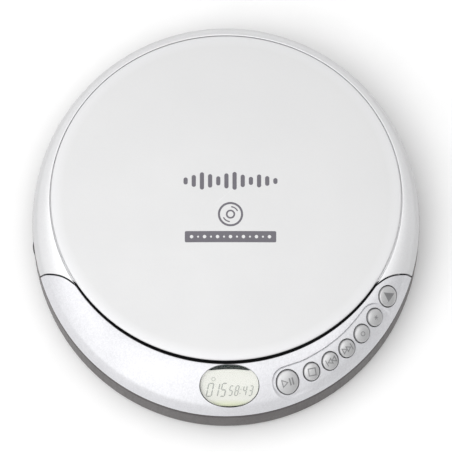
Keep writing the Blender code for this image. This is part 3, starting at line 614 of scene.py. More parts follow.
def moulded(name, light, dark, roughness, grain=2200.0):
    """Moulded plastic with a fine spark-eroded texture, dull patches and polished edges."""
    graph = Graph(name)
    fine = graph.noise(grain, detail=4.0)
    pits = graph.cells(grain * 0.8)
    cloud = graph.noise(26.0, detail=4.0)
    colour = graph.mix(graph.blend(fine, 0.5, cloud, 0.5), light, dark)
    worn = graph.mix(graph.times(graph.edges(), 0.5), colour, tuple(min(c * 1.3 + 0.01, 1.0) for c in light))
    rough = graph.sum(graph.sum(graph.vary(cloud, -0.06, 0.06), graph.vary(fine, -0.03, 0.05)), roughness)
    graph.bump(graph.sum(fine, pits), 0.00004, 0.5)
    return graph.finish(worn, rough)


def metal(name, light, dark, roughness, stretch):
    """Drawn or turned metal: fine lines, faint stains and small scratches."""
    graph = Graph(name, metallic=1.0)
    lines = graph.noise(900.0, detail=3.0, stretch=stretch)
    stain = graph.noise(160.0, detail=4.0)
    colour = graph.mix(graph.blend(lines, 0.6, stain, 0.4), light, dark)
    rough = graph.sum(graph.sum(graph.vary(lines, -0.06, 0.08), graph.vary(stain, -0.05, 0.06)), roughness)
    graph.bump(lines, 0.00002, 0.4)
    return graph.finish(colour, rough)


def rubber_material():
    graph = Graph("rubber", specular=0.35)
    fine = graph.noise(1500.0, detail=4.0)
    dust = graph.noise(220.0, detail=4.0)
    colour = graph.mix(graph.span(dust, 0.45, 1.0, 0.0, 0.55), (0.035, 0.035, 0.036), (0.11, 0.105, 0.10))
    rough = graph.sum(graph.vary(fine, -0.05, 0.06), 0.82)
    graph.bump(fine, 0.00006, 0.6)
    return graph.finish(colour, rough)


def board_material():
    """Green lacquered board: copper tracks under the lacquer, tinned pads and glass weave."""
    graph = Graph("circuit_board", coat=0.25, coat_roughness=0.2)
    tracks = graph.add("ShaderNodeTexBrick", offset=0.37, squash=1.0)
    tracks.inputs["Scale"].default_value = 210.0
    tracks.inputs["Mortar Size"].default_value = 0.045
    tracks.inputs["Brick Width"].default_value = 1.6
    tracks.inputs["Row Height"].default_value = 0.22
    graph.join(graph.place, tracks.inputs["Vector"])
    pads = graph.span(graph.cells(420.0), 0.20, 0.23, 1.0, 0.0)
    weave = graph.noise(2400.0, detail=1.0)
    base = graph.mix(weave, (0.012, 0.10, 0.045), (0.02, 0.135, 0.055))
    tracked = graph.mix(tracks.outputs["Fac"], base, (0.045, 0.25, 0.10))
    colour = graph.mix(pads, tracked, (0.62, 0.61, 0.58))
    rough = graph.vary(pads, 0.42, 0.25)
    graph.bump(graph.sum(tracks.outputs["Fac"], pads), 0.00004, 0.6)
    return graph.finish(colour, rough)


def display_material(low_y, high_y):
    """Reflective liquid crystal cell: warm off-white, greener towards its lower edge."""
    graph = Graph("display_glass", coat=0.3, coat_roughness=0.05)
    place = graph.add("ShaderNodeSeparateXYZ")
    graph.join(graph.place, place.inputs[0])
    lower = graph.span(place.outputs["Y"], low_y, high_y, 1.0, 0.0)
    fine = graph.noise(5200.0, detail=1.0)
    paper = graph.mix(graph.times(fine, 0.5), (0.645, 0.635, 0.60), (0.605, 0.60, 0.565))
    colour = graph.mix(lower, paper, (0.55, 0.585, 0.36))
    rough = graph.vary(fine, 0.32, 0.42)
    graph.bump(fine, 0.000008, 0.3)
    return graph.finish(colour, rough)


def ink_material(name, light, dark, roughness=0.5, specular=0.4):
    """Matt printing ink with thin and worn spots."""
    graph = Graph(name, specular=specular)
    fine = graph.noise(3200.0, detail=3.0)
    worn = graph.noise(420.0, detail=3.0)
    colour = graph.mix(graph.blend(fine, 0.5, worn, 0.5), light, dark)
    rough = graph.sum(graph.vary(worn, -0.05, 0.06), roughness)
    graph.bump(fine, 0.00001, 0.4)
    return graph.finish(colour, rough)


def clear_material(name, tint, roughness, index):
    """Polished clear plastic with faint hairlines."""
    graph = Graph(name)
    graph.shader.inputs["Transmission Weight"].default_value = 1.0
    graph.shader.inputs["IOR"].default_value = index
    graph.shader.inputs["Base Color"].default_value = (*tint, 1.0)
    hair = graph.noise(120.0, stretch=(1.0, 22.0, 1.0), turn=0.9)
    graph.join(graph.span(hair, 0.6, 1.0, roughness, roughness + 0.03), graph.shader.inputs["Roughness"])
    graph.bump(hair, 0.000004, 0.2)
    return graph.material


def gear_material():
    """Natural acetal: waxy off-white with a little light under the skin."""
    graph = Graph("white_gear")
    graph.shader.inputs["Subsurface Weight"].default_value = 0.25
    graph.shader.inputs["Subsurface Scale"].default_value = 0.0015
    fine = graph.noise(1300.0, detail=3.0)
    cloud = graph.noise(150.0, detail=3.0)
    colour = graph.mix(cloud, (0.80, 0.79, 0.73), (0.72, 0.70, 0.63))
    rough = graph.sum(graph.vary(fine, -0.04, 0.06), 0.42)
    graph.bump(fine, 0.00003, 0.4)
    return graph.finish(colour, rough)


# Painted shade: both silver paints are darkened on their sloping sides.
SILVER_RING = paint("lid_silver", (0.82, 0.82, 0.83), (0.70, 0.70, 0.71), 0.42, 0.40, 0.34, slope_shade=0.42)
SILVER_PANEL = paint("panel_silver", (0.74, 0.74, 0.765), (0.57, 0.57, 0.59), 0.55, 0.50, 0.55, slope_shade=0.12)
SILVER_KEY = paint("key_silver", (0.53, 0.53, 0.535), (0.44, 0.44, 0.445), 0.50, 0.32, 0.34, coat=0.1)
# Painted highlight: the pearl paint's border colour lightens the plate's rim.
PEARL = paint("plate_pearl", (0.66, 0.66, 0.662), (0.62, 0.62, 0.625), 0.12, 0.42, 0.25, grain=3400.0,
              border=(0.71, 0.71, 0.72))
CASE_GREY = paint("case_grey", (0.088, 0.077, 0.077), (0.022, 0.018, 0.018), 0.50, 0.42, 0.75, grain=2400.0)
WELL_BLACK = moulded("well_black", (0.032, 0.032, 0.034), (0.018, 0.018, 0.019), 0.52)
LINER_BLACK = moulded("liner_black", (0.034, 0.034, 0.036), (0.02, 0.02, 0.021), 0.56, grain=1500.0)
HUB_BLACK = moulded("hub_black", (0.03, 0.03, 0.031), (0.016, 0.016, 0.017), 0.40)
PLAIN_BLACK = moulded("black_plastic", (0.03, 0.03, 0.03), (0.018, 0.018, 0.018), 0.48)
SOCKET_BLACK = moulded("socket_black", (0.028, 0.028, 0.028), (0.016, 0.016, 0.016), 0.36)
DIAL_BLACK = moulded("dial_black", (0.045, 0.045, 0.046), (0.025, 0.025, 0.026), 0.50)
MASK_BLACK = ink_material("display_black", (0.006, 0.014, 0.011), (0.003, 0.008, 0.006), 0.60, 0.05)
CHIP_BLACK = moulded("chip_black", (0.03, 0.03, 0.031), (0.016, 0.016, 0.017), 0.62, grain=5200.0)
PLAIN_GREY = moulded("grey_plastic", (0.34, 0.34, 0.35), (0.26, 0.26, 0.27), 0.46)
STEEL = metal("steel", (0.66, 0.66, 0.66), (0.50, 0.50, 0.51), 0.24, (1.0, 26.0, 26.0))
MOTOR_STEEL = metal("motor_steel", (0.62, 0.62, 0.63), (0.46, 0.46, 0.47), 0.30, (1.0, 1.0, 30.0))
CONTACT_STEEL = metal("contact_steel", (0.72, 0.70, 0.66), (0.55, 0.53, 0.50), 0.22, (1.0, 1.0, 18.0))
RUBBER = rubber_material()
BOARD = board_material()
WHITE_GEAR = gear_material()
WINDOW_CLEAR = clear_material("window_clear", (0.975, 0.985, 0.975), 0.02, 1.25)
LENS_GLASS = clear_material("lens_glass", (0.55, 0.62, 0.95), 0.01, 1.5)
PRINT_GREY = ink_material("print_grey", (0.125, 0.118, 0.138), (0.15, 0.143, 0.163))
KEY_MARK = ink_material("key_mark", (0.17, 0.17, 0.175), (0.24, 0.24, 0.245))
SEGMENT_INK = ink_material("segment_ink", (0.27, 0.28, 0.26), (0.34, 0.35, 0.32), 0.35)
KEY_SHADE = ink_material("key_shade", (0.15, 0.15, 0.155), (0.21, 0.21, 0.215))


# ---- silver shoulder: the lid's ring and the front panel ----

EDGE_ROLL, RIM_ROLL, RIM_ROLL_STRETCH = 0.3, 0.22, 1.9      # roundings of the shells' edges
BAY_FADE_SEAM, BAY_FADE_RIM = 2.0, 2.4  # the key bay dies away this near the seam and the rim
SHELL_FOOT = 0.965                      # s from which a shell's inner face is level


def seam_angle(gap):
    """Gives the seam's angle on the right side for each s of the shoulder; gap moves it forwards."""
    line = smooth_line(SEAM_KNOTS, 10)
    coordinates = []
    for i, point in enumerate(line):
        shifted = point + left_of(heading(line, i)) * gap
        coordinates.append(shoulder_coordinates(shifted.x, shifted.y))

    def angle(s):
        for (s0, t0), (s1, t1) in zip(coordinates, coordinates[1:]):
            if s1 <= s <= s0:
                return t0 + (t1 - t0) * (s0 - s) / max(s0 - s1, 1e-9)
        return coordinates[-1][1]
    return angle


def graded(start, end, zones, step):
    """Positions from start to end, a step apart, and closer where a zone (from, to, step) says."""
    positions = [start]
    while positions[-1] < end - 1e-9:
        here = positions[-1]
        stride = step
        for zone_start, zone_end, zone_step in zones:
            if zone_start <= here < zone_end:
                stride = min(stride, zone_step)
            elif here < zone_start:
                stride = min(stride, max(zone_start - here, zone_step))
        positions.append(min(here + stride, end))
    return positions


def shoulder_sheet(start, limits, columns, rows, arc, drop_at, inner_rows):
    """Outer and inner grids of a silver shell.

    start is the inner edge's s, limits(s) gives the first and last angle, columns run from 0 to 1 between
    them over about arc millimetres, and rows go from 0 at the inner edge to 1 at the rim.
    """
    top, under = [], []
    for row in rows:
        s = start + (1.0 - start) * row
        first, last = limits(s)
        top_row, under_row = [], []
        for c in columns:
            t = first + (last - first) * c
            width = (Vector(shoulder_point(1.0, t)) - Vector(shoulder_point(0.0, t))).length
            from_inner = row * (1.0 - start) * width
            from_seam = min(c, 1.0 - c) * arc
            point = shoulder_at(s, t)
            from_rim = (1.0 - row) * width
            drop = edge_roll(min(from_inner, from_seam), EDGE_ROLL)
            drop += edge_roll(from_rim * RIM_ROLL_STRETCH, RIM_ROLL)
            if drop_at:
                fade = smoothstep(min(from_seam / BAY_FADE_SEAM, from_rim / BAY_FADE_RIM))
                drop += drop_at(point.x, point.y) * fade
            top_row.append(point - shoulder_normal(s, t) * drop)
            under_row.append(inner_rows(row, s, t))
        top.append(top_row)
        under.append(under_row)
    return sheet_solid(top, under)


def shell_inside(s, t):
    """Point of the shell's inner face; at the rim it ends level, one shell thickness inwards."""
    if s > SHELL_FOOT:
        x, y = shoulder_point(1.0, t)
        return Vector((x * (1.0 - SHELL / BODY_A), y * (1.0 - SHELL / BODY_B), Z_RIM))
    inner = shoulder_at(s, t) - shoulder_normal(s, t) * SHELL
    inner.z = max(inner.z, Z_RIM + 0.05)
    return inner


def build_lid_ring():
    """The lid's silver ring with its shelf, hinge knuckles and latch hook."""
    right = seam_angle(0.0)

    def limits(s):
        return right(s), math.pi - right(s)

    arc, fine, easy = 250.0, 0.0004, 0.002
    columns = graded(0.0, 1.0, [(0.0, 0.003, fine), (0.003, 0.02, easy), (0.98, 0.997, easy),
                                (0.997, 1.0, fine)], 0.0052)
    rows = graded(0.0, 1.0, [(0.0, 0.08, 0.012), (0.90, 1.0, 0.012)], 0.05)

    def inner(row, s, t):
        if row < 1e-6:
            x, y = shoulder_point(RING_START, t)
            return Vector((x, y, Z_PLATE_EDGE - 1.8))
        return shell_inside(s, t)

    solid = shoulder_sheet(RING_START, limits, columns, rows, arc, None, inner)
    ring = make("lid_ring", solid, SILVER_RING, "lid", ["lid_shell"])
    join(ring, lid_shelf())
    knuckle_in, knuckle_out = 6.5, 12.0
    join(ring, rounded_box(-knuckle_out, knuckle_out, 69.0, 70.4, 14.8, 18.6, 0.6))
    arm = [(69.0, 11.0), (70.15, 11.0), (70.25, 13.5), (70.35, 16.0), (69.0, 16.0)]
    for side in (-1, 1):
        x0, x1 = sorted((side * knuckle_in, side * knuckle_out))
        join(ring, rod_x(2.3, x0, x1, HINGE_Y, HINGE_Z, 40))
        join(ring, bar(arm, x0 + 0.02, x1 - 0.02))
    cut(ring, rod_x(1.1, -13.0, 13.0, HINGE_Y, HINGE_Z, 32))
    join(ring, hook_solid())


def lid_shelf():
    """Flat ring under the plate; it reaches into the shell behind and stays inside it in front."""
    low, high = 22.6, 23.8
    sides = 240
    narrow, wide, clear = -0.06, 0.31, 0.06
    right = seam_angle(0.0)
    outer = []
    for i in range(sides):
        t = math.tau * i / sides
        side_t = math.asin(math.sin(t))
        s = narrow
        while s < wide and right(s + clear) < side_t:
            s += 0.01
        outer.append(shoulder_point(s, t))
    inner = ellipse(56.2, 54.1, PLATE_Y, sides)
    edge, spread = 0.25, 1.004
    foot = [(x * spread, PLATE_Y + (y - PLATE_Y) * spread) for x, y in inner]
    levels = ((outer, low), (outer, high), (inner, high), (inner, low + edge), (foot, low))
    return stack(levels, closed=True)


LATCH_AT = Vector((58.0, -23.7, 0.0))


def axes_at(place, across, up):
    """Frame at a place from its X axis and its Z axis."""
    matrix = Matrix((across, up.cross(across), up)).transposed().to_4x4()
    matrix.translation = place
    return matrix


def hook_solid():
    """The lid's latch hook, lined up with the latch slider's joint."""
    along = -Vector(joints["latch_slide"]["axis"]).normalized()
    profile = [(5.2, 16.9), (6.6, 16.9), (6.6, 22.7), (5.2, 22.7), (5.2, 17.9), (4.8, 17.7), (4.4, 17.5),
               (4.4, 17.1), (4.6, 16.9)]
    rings = [[(u, v, z) for u, z in profile] for v in (-1.2, 1.2)]
    return moved(loft(rings), axes_at(LATCH_AT, along, Vector((0.0, 0.0, 1.0))))


# The raised keys sit in one shallow, bean-shaped bay.
KEY_NODES = ("play_pause_button", "stop_button", "previous_button", "next_button", "mode_button",
             "sound_button")
BAY_DEPTH, BAY_REACH = 0.5, 4.75
KEY_RISE = 0.98                 # the caps' crown above the shoulder
KEY_TRIM = -0.33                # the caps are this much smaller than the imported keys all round
KEY_SIZES = {"play_pause_button": (8.3, 9.1), "stop_button": (6.2, 6.9), "previous_button": (6.2, 6.9),
             "next_button": (6.2, 6.9), "mode_button": (6.1, 6.9), "sound_button": (6.1, 6.8),
             "open_button": (7.3, 7.9)}
WINDOW_POWER = 2.15             # 2 would be a plain ellipse


def key_place(node):
    """Middle of a key's cap in plan with the surface's normal there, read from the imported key."""
    normal = -Vector(joints[node.replace("_button", "_press")]["axis"]).normalized()
    points = [v.co / MM for v in frame["nodes"][node].data.vertices]
    top = max(p.dot(normal) for p in points)
    crown = [p for p in points if p.dot(normal) > top - 0.15]
    return sum(crown, Vector()) / len(crown) - normal * KEY_RISE, normal


key_places = {node: key_place(node) for node in (*KEY_NODES, "open_button")}
bay_line = smooth_line([key_places[node][0].to_2d() for node in KEY_NODES], 8)


def bay_reach(point):
    """Distance from the line through the keys to the bay's inner edge; wider round the first key."""
    away = (Vector(point) - bay_line[0]).length
    return BAY_REACH + 0.55 * (1.0 - smoothstep(away / 8.0))


def bay_drop(x, y):
    """Depth of the key bay: a crisp step on its inner side and a long soft slope on its outer."""
    if not (10.0 < x < 68.0 and y < -26.0):
        return 0.0
    here = Vector((x, y))
    nearest = min(bay_line, key=lambda p: (p - here).length_squared)
    away = here - nearest
    distance = away.length
    outward = Vector((nearest.x, nearest.y - DISC_Y)).normalized()
    side = away.dot(outward) / max(distance, 1e-6)
    outer_share = smoothstep((side + 0.1) / 0.8)
    from_play = smoothstep(((nearest - bay_line[0]).length - 3.0) / 9.0)
    reach = bay_reach(nearest) + 0.9 * outer_share * from_play
    soft = 0.35 + 0.7 * outer_share * from_play + 0.8 * outer_share
    depth = BAY_DEPTH * smoothstep((reach + 0.5 * soft - distance) / soft)
    ridge = 0.2 * outer_share * math.exp(-((distance - reach - 0.4 * soft) / 0.55) ** 2)
    return depth - ridge


def window_outline(inset, sides=96):
    """Rounded, slightly squared oval of the display window, in plan."""
    low, high = box_mm("display_lens")
    half_a = 0.5 * (high.x - low.x) + GAP - inset
    half_b = 1.03 * (0.5 * (high.y - low.y) + GAP) - inset
    centre = 0.5 * (low + high)
    points = []
    for i in range(sides):
        t = math.tau * i / sides
        c, s = math.cos(t), math.sin(t)
        x = half_a * math.copysign(abs(c) ** (2.0 / WINDOW_POWER), c)
        y = half_b * math.copysign(abs(s) ** (2.0 / WINDOW_POWER), s)
        points.append((centre.x + x, centre.y + y))
    return points


def tilted(place, normal):
    """Frame on the surface: Z is its normal and X lies level."""
    return axes_at(place, Vector((1.0, 0.0, -normal.x / normal.z)).normalized(), normal)


def key_oval(node, extra):
    width, height = KEY_SIZES[node]
    return ellipse(0.5 * width + extra, 0.5 * height + extra, 0.0, 72)


def bay_groove():
    """Fine groove along the bay's inner edge, from beside the first key round to the sixth."""
    line = [p + left_of(heading(bay_line, i)) * bay_reach(p) for i, p in enumerate(bay_line)]

    def round_end(middle, towards, step):
        """Points that carry the groove on round an end of the bay, step degrees apart."""
        start = math.degrees(math.atan2(towards.y - middle.y, towards.x - middle.x))
        angles = [math.radians(start + step * k) for k in range(1, 15)]
        return [middle + bay_reach(middle) * Vector((math.cos(a), math.sin(a))) for a in angles]

    path = round_end(bay_line[0], line[0], 7.0)[::-1] + line + round_end(bay_line[-1], line[-1], -7.0)
    rings = []
    for i, point in enumerate(path):
        across = left_of(heading(path, i))
        fade = smoothstep(min(i, len(path) - 1 - i) / 9.0)
        half = 0.06 + 0.13 * fade
        z = surface_height(point.x, point.y)
        floor = z - 0.1 - (BAY_DEPTH + 0.45) * fade
        left, right = point + across * half, point - across * half
        rings.append([(left.x, left.y, floor), (right.x, right.y, floor), (right.x, right.y, z + 2.0),
                      (left.x, left.y, z + 2.0)])
    return loft(rings)


def build_panel():
    """The silver front panel with its key bay, key holes and window opening."""
    right = seam_angle(SEAM_GAP)

    def limits(s):
        return -math.pi - right(s), right(s)

    arc, fine, middling = 255.0, 0.0004, 0.0014
    window = (0.36, 0.56, 0.0032)
    keys = (0.56, 0.965, middling)
    columns = graded(0.0, 1.0, [(0.0, 0.003, fine), (0.003, 0.02, 0.002), window, keys,
                                (0.98, 0.997, middling), (0.997, 1.0, fine)], 0.0052)
    rows = graded(0.0, 1.0, [(0.0, 0.05, 0.006), (0.05, 0.93, 0.018), (0.93, 1.0, 0.008)], 0.02)
    lip_row, lip_end, lip_width, lip_rise = 0.055, 0.11, 1.2, 1.1

    def inner(row, s, t):
        """The inner face, with a level lip along the seam to the plate."""
        edge = Vector(shoulder_point(PANEL_START, t))
        outward = (Vector(shoulder_point(1.0, t)) - edge).normalized()
        if row < lip_row:
            return Vector((*(edge + outward * (lip_width * row / lip_row)), PANEL_LIP_Z))
        if row < lip_end:
            share = (row - lip_row) / (lip_end - lip_row)
            return Vector((*(edge + outward * lip_width), PANEL_LIP_Z + lip_rise * share))
        return shell_inside(s, t)

    solid = shoulder_sheet(PANEL_START, limits, columns, rows, arc, bay_drop, inner)
    panel = make("panel_shell", solid, SILVER_PANEL, "base", ["front_panel"])
    cut(panel, bay_groove())
    for node, (place, normal) in key_places.items():
        depth = 7.0 if node == "open_button" else 4.0
        cut(panel, moved(prism(key_oval(node, 0.1), -depth, 3.0), tilted(place, normal)))
    cut(panel, prism(window_outline(0.0), 10.0, 35.0))


# ---- lid plate, its printing and its liner ----

def plate_ring(share, sides=256):
    """The plate's outline, shrunk to a share of its size."""
    return ellipse(PLATE_A * share, PLATE_B * share, PLATE_Y, sides)


def build_plate():
    """The pale plate: slightly crowned, with a rounded rim."""
    levels = []
    rim = [(1.0, 0.62), (0.999, 0.50), (0.9965, 0.40), (0.992, 0.31), (0.985, 0.225), (0.976, 0.145),
           (0.965, 0.08), (0.95, 0.03), (0.93, 0.006), (0.90, 0.0)]
    shares = [(0.004, 0.0)] + [(0.05 * i, 0.0) for i in range(1, 18)]
    for share, drop in shares + rim[::-1]:
        levels.append((plate_ring(share), Z_CROWN - PLATE_FALL * share * share - drop))
    under = Z_CROWN - PLATE_THICK
    levels.append((plate_ring(1.0), under - PLATE_FALL + 0.15))
    for share in (0.998, 0.90, 0.80, 0.60, 0.40, 0.20, 0.01):
        levels.append((plate_ring(share), under - PLATE_FALL * share * share))
    make("plate", stack(levels), PEARL, "lid", ["lid_plate"])


def plate_ink(x, y):
    return plate_height(x, y) + 0.005


PRINT_X = 1.6                   # middle of the printed marks


def build_plate_print():
    """Generic marks in place of the maker's: level bars, a disc pictogram and a dotted band."""
    marks = []
    heights = (2.6, 4.4, 6.4, 5.0, 3.4, 5.6, 6.6, 4.6, 3.0, 4.8, 3.6, 2.2)
    pitch, thick, middle = 2.9, 1.5, 11.5
    first = PRINT_X - 0.5 * pitch * (len(heights) - 1)
    for i, height in enumerate(heights):
        x = first + i * pitch
        half = 0.5 * (height - thick)
        outline = circle((x, middle + half), 0.5 * thick, 16, 0.0, 180.0)
        outline += circle((x, middle - half), 0.5 * thick, 16, 180.0, 360.0)
        marks.append(patch(outline, plate_ink))
    centre = (PRINT_X, -0.8)
    for radius, width in ((4.1, 0.75), (1.35, 0.6)):
        marks.append(ribbon(circle(centre, radius, 64), width, plate_ink, closed=True))
    for start in (25.0, 205.0):
        marks.append(ribbon(circle(centre, 2.75, 14, start, start + 60.0), 0.45, plate_ink))
    make("plate_print", together(*marks), PRINT_GREY, "lid")
    y0, y1 = -11.1, -7.0
    band = polygon_points(rounded_outline(PRINT_X - 16.2, PRINT_X + 16.2, y0, y1, 0.5, steps=6), 1.0)
    make("plate_band", patch(band, plate_ink), PRINT_GREY, "lid")
    dots = []
    for i in range(13):
        dot = circle((PRINT_X + (i - 6) * 2.3, 0.5 * (y0 + y1)), 0.62 if i % 2 == 0 else 0.36, 20)
        dots.append(patch(dot, lambda x, y: plate_ink(x, y) + 0.03))
    make("plate_band_dots", together(*dots), PEARL, "lid")


def build_liner():
    """Black liner inside the lid, with shallow rings and a pad over the disc's hub."""
    levels = []
    outer = 0.88
    profile = [(0.01, -0.32), (0.10, -0.32), (0.108, -0.28), (0.112, 0.0)]
    share = 0.16
    while share < 0.84:
        profile += [(share, 0.0), (share + 0.004, 0.22), (share + 0.012, 0.22), (share + 0.016, 0.0)]
        share += 0.075
    profile += [(0.862, 0.0), (0.875, 0.06), (outer, 0.16)]
    under, top = Z_CROWN + 0.04 - 2.5, Z_CROWN + 0.04 - 1.7
    for share, extra in profile:
        levels.append((plate_ring(share, 160), under - PLATE_FALL * share * share + extra))
    for share in (outer, 0.6, 0.3, 0.01):
        levels.append((plate_ring(share, 160), top - PLATE_FALL * share * share))
    make("liner", stack(levels), LINER_BLACK, "lid", ["lid_liner"])


# ---- bottom case ----

BAY_X, BAY_FRONT, BAY_BACK = 28.5, -61.2, -30.0     # the battery bay: half its width, and its ends
Z_FLOOR, Z_BAY_TOP, Z_TUB_TOP = 2.4, 16.25, 16.9
WALL = 1.7
DOOR_Y, DOOR_Z = -31.0, 1.9
FEET = {node: middle_mm(node)[:2] for node in (f"foot_{number}" for number in (1, 2, 3, 4))}
SCREWS = {node: middle_mm(node)[:2] for node in (f"case_screw_{number}" for number in (1, 2, 3))}
DIAL_AT = middle_mm("volume_dial")[:2]
PHONES_AT = (middle_mm("headphone_jack")[1], 10.1)      # the sockets' centre lines in Y and Z
POWER_AT = (middle_mm("dc_jack")[1], 10.8)


def case_loft(levels, closed=False):
    """Loft of body outlines from (inset, height) pairs."""
    return stack([(ellipse(BODY_A - inset, BODY_B - inset, 0.0, 260), z) for inset, z in levels], closed)


def build_case():
    """The bottom case: a hollow shell with a battery tub, hinge posts and openings for its fittings."""
    outer = [(3.2, Z_BOTTOM), (2.5, 0.84), (1.8, 1.02), (1.2, 1.34), (0.7, 1.8), (0.32, 2.35), (0.08, 3.0),
             (0.0, 3.7), (0.0, Z_SPLIT - 0.35), (0.08, Z_SPLIT - 0.12), (0.28, Z_SPLIT)]
    case = make("bottom_case", case_loft(outer), CASE_GREY, "base", ["base_case"])
    hollow = make("hollow", case_loft([(4.0, Z_FLOOR), (2.4, 3.4), (WALL, 4.8), (WALL, Z_SPLIT + 1.0)]),
                  None, None)
    root = Z_FLOOR - 1.0
    cut(hollow, box(-BAY_X - 1.3, BAY_X + 1.3, BAY_FRONT - 1.3, BAY_BACK + 1.3, root, Z_TUB_TOP))
    for side in (-1, 1):
        cut(hollow, box(side * 15.0 - 2.6, side * 15.0 + 2.6, 65.2, 75.0, root, 14.5))
    cut(hollow, repeated([(3.2, root), (3.2, 11.0)], 40, SCREWS.values()))
    cut(case, ([v.co / MM for v in hollow.data.vertices], [tuple(p.vertices) for p in hollow.data.polygons]))
    bpy.data.objects.remove(hollow, do_unlink=True)
    door_end = DOOR_Y + 1.36 + GAP
    cut(case, bar([(BAY_FRONT, 0.0), (door_end, 0.0), (door_end, 3.0), (BAY_BACK, 3.0),
                   (BAY_BACK, Z_BAY_TOP), (BAY_FRONT, Z_BAY_TOP)], -BAY_X, BAY_X))
    cut(case, box(-12.4, 12.4, 69.0, 75.0, 8.4, Z_SPLIT + 1.0))
    cut(case, box(-21.0, 21.0, 66.0, 75.0, 15.5, Z_SPLIT + 1.1))
    for side in (-1, 1):
        cut(case, rod_x(1.15, side * 12.0, side * 16.8, HINGE_Y, HINGE_Z))
        cut(case, rod_x(0.85, side * (BAY_X - 0.5), side * (BAY_X + 0.8), DOOR_Y, DOOR_Z))
    cut(case, rounded_box(-75.0, -62.0, DIAL_AT[1] - 6.4, DIAL_AT[1] + 6.4, 9.8, 13.0, 0.8))
    cut(case, rod_x(3.05, -75.0, -60.0, *PHONES_AT, 48))
    cut(case, rod_x(3.5, -75.0, -56.0, *POWER_AT, 48))
    cut(case, repeated([(4.95, 0.0), (4.95, 1.5)], 56, FEET.values()))
    cut(case, repeated([(2.8, 0.0), (2.8, 2.0), (1.5, 2.0), (1.5, 12.0)], 40, SCREWS.values()))
    finger_notch = [(x, BAY_FRONT + 0.2 + y) for x, y in ellipse(7.0, 2.6, 0.0, 40, 180.0, 360.0)]
    cut(case, prism(finger_notch, 0.2, 1.35))
    cut(case, groove_ring(Z_SPLIT - 1.3))


def groove_ring(z):
    """A fine shadow line round the wall, just under its top edge."""
    depth, half = 0.22, 0.14
    return case_loft([(depth, z - half), (-0.5, z - 1.4 * half), (-0.5, z + 1.4 * half), (depth, z + half)],
                     closed=True)


def build_door():
    """Battery door with grip ribs, a moulded arrow and hinge knuckles."""
    x1, y0, y1 = BAY_X - GAP, BAY_FRONT + GAP, DOOR_Y + 0.8
    door = make("door", rounded_box(-x1, x1, y0, y1, Z_BOTTOM, 1.6, 0.5), CASE_GREY, "door",
                ["battery_door"])
    for side in (-1, 1):
        x_in, x_out = sorted((side * 26.4, side * (x1 - 0.01)))
        join(door, rod_x(0.96, x_in, x_out, DOOR_Y, DOOR_Z, 32))
        pin_in, pin_out = sorted((side * 27.0, side * (BAY_X + 0.5)))
        join(door, rod_x(0.58, pin_in, pin_out, DOOR_Y, DOOR_Z, 24))
    for i in range(7):
        y = BAY_FRONT + 3.0 + 1.25 * i
        half = 9.0 - 0.35 * abs(i - 3) ** 1.5
        cut(door, rounded_box(-half, half, y - 0.32, y + 0.32, 0.2, Z_BOTTOM + 0.3, 0.3))
    arrow = [(-1.5, -44.0), (-1.5, -40.4), (1.5, -40.4), (1.5, -44.0), (3.2, -44.0), (0.0, -48.2),
             (-3.2, -44.0)]
    cut(door, prism(arrow, 0.2, Z_BOTTOM + 0.25))
    cut(door, box(-x1 + 2.2, x1 - 2.2, y0 + 1.5, y0 + 1.75, 0.2, Z_BOTTOM + 0.18))


# ---- disc well, hub and pickup ----

BALL_RADIUS = 1.18


def build_well():
    """Disc well with a rounded lip, a shallow label step, the skirt and the rear deck."""
    radius, wall = 61.2, 1.0
    floor, under, top = 18.4, 17.2, 21.4
    outer = radius + wall
    profile = [(16.6, under), (16.6, floor - 0.15), (16.75, floor), (22.0, floor), (22.2, floor - 0.18),
               (59.0, floor - 0.18), (59.4, floor), (radius - 0.5, floor + 0.02),
               (radius - 0.15, floor + 0.15), (radius, floor + 0.5), (radius, top - 0.3),
               (radius + 0.1, top - 0.1), (radius + 0.3, top), (outer - 0.3, top), (outer - 0.1, top - 0.1),
               (outer, top - 0.3), (outer, under)]
    well = make("well", turned(profile, 240, (0.0, DISC_Y), closed=True), WELL_BLACK, "base",
                ["disc_tray"])

    def back_arc(radius_x, radius_y, centre_y=DISC_Y):
        """An arc round the sides and back, clear of the front panel."""
        return ellipse(radius_x, radius_y, centre_y, 160, -32.0, 196.0)

    skirt = back_arc(outer - 0.1, outer - 0.1) + back_arc(radius + 0.2, radius + 0.2)[::-1]
    deck = back_arc(BODY_A - 2.15, BODY_B - 2.15, 0.0) + back_arc(radius + 0.4, radius + 0.4)[::-1]
    join(well, prism(skirt, 15.3, floor - 0.3), prism(deck, 15.0, 16.1))
    join(well, repeated([(3.0, 11.3), (3.0, under + 0.5)], 32, SCREWS.values()))
    cut(well, repeated([(1.65, 11.0), (1.65, 16.0)], 24, SCREWS.values()))
    slot_half = 4.0
    outline = ellipse(slot_half, slot_half, DISC_Y, 24, 90.0, 270.0)
    slot = [(x + 22.0 + slot_half - 1.8, y) for x, y in outline]
    slot += [(59.5 + x, y) for x, y in ellipse(1.5, slot_half, DISC_Y, 16, -90.0, 90.0)]
    cut(well, prism(slot, 16.0, 19.0))
    cut(well, box(-12.7, 12.7, 68.4, 75.0, 14.0, 17.0))


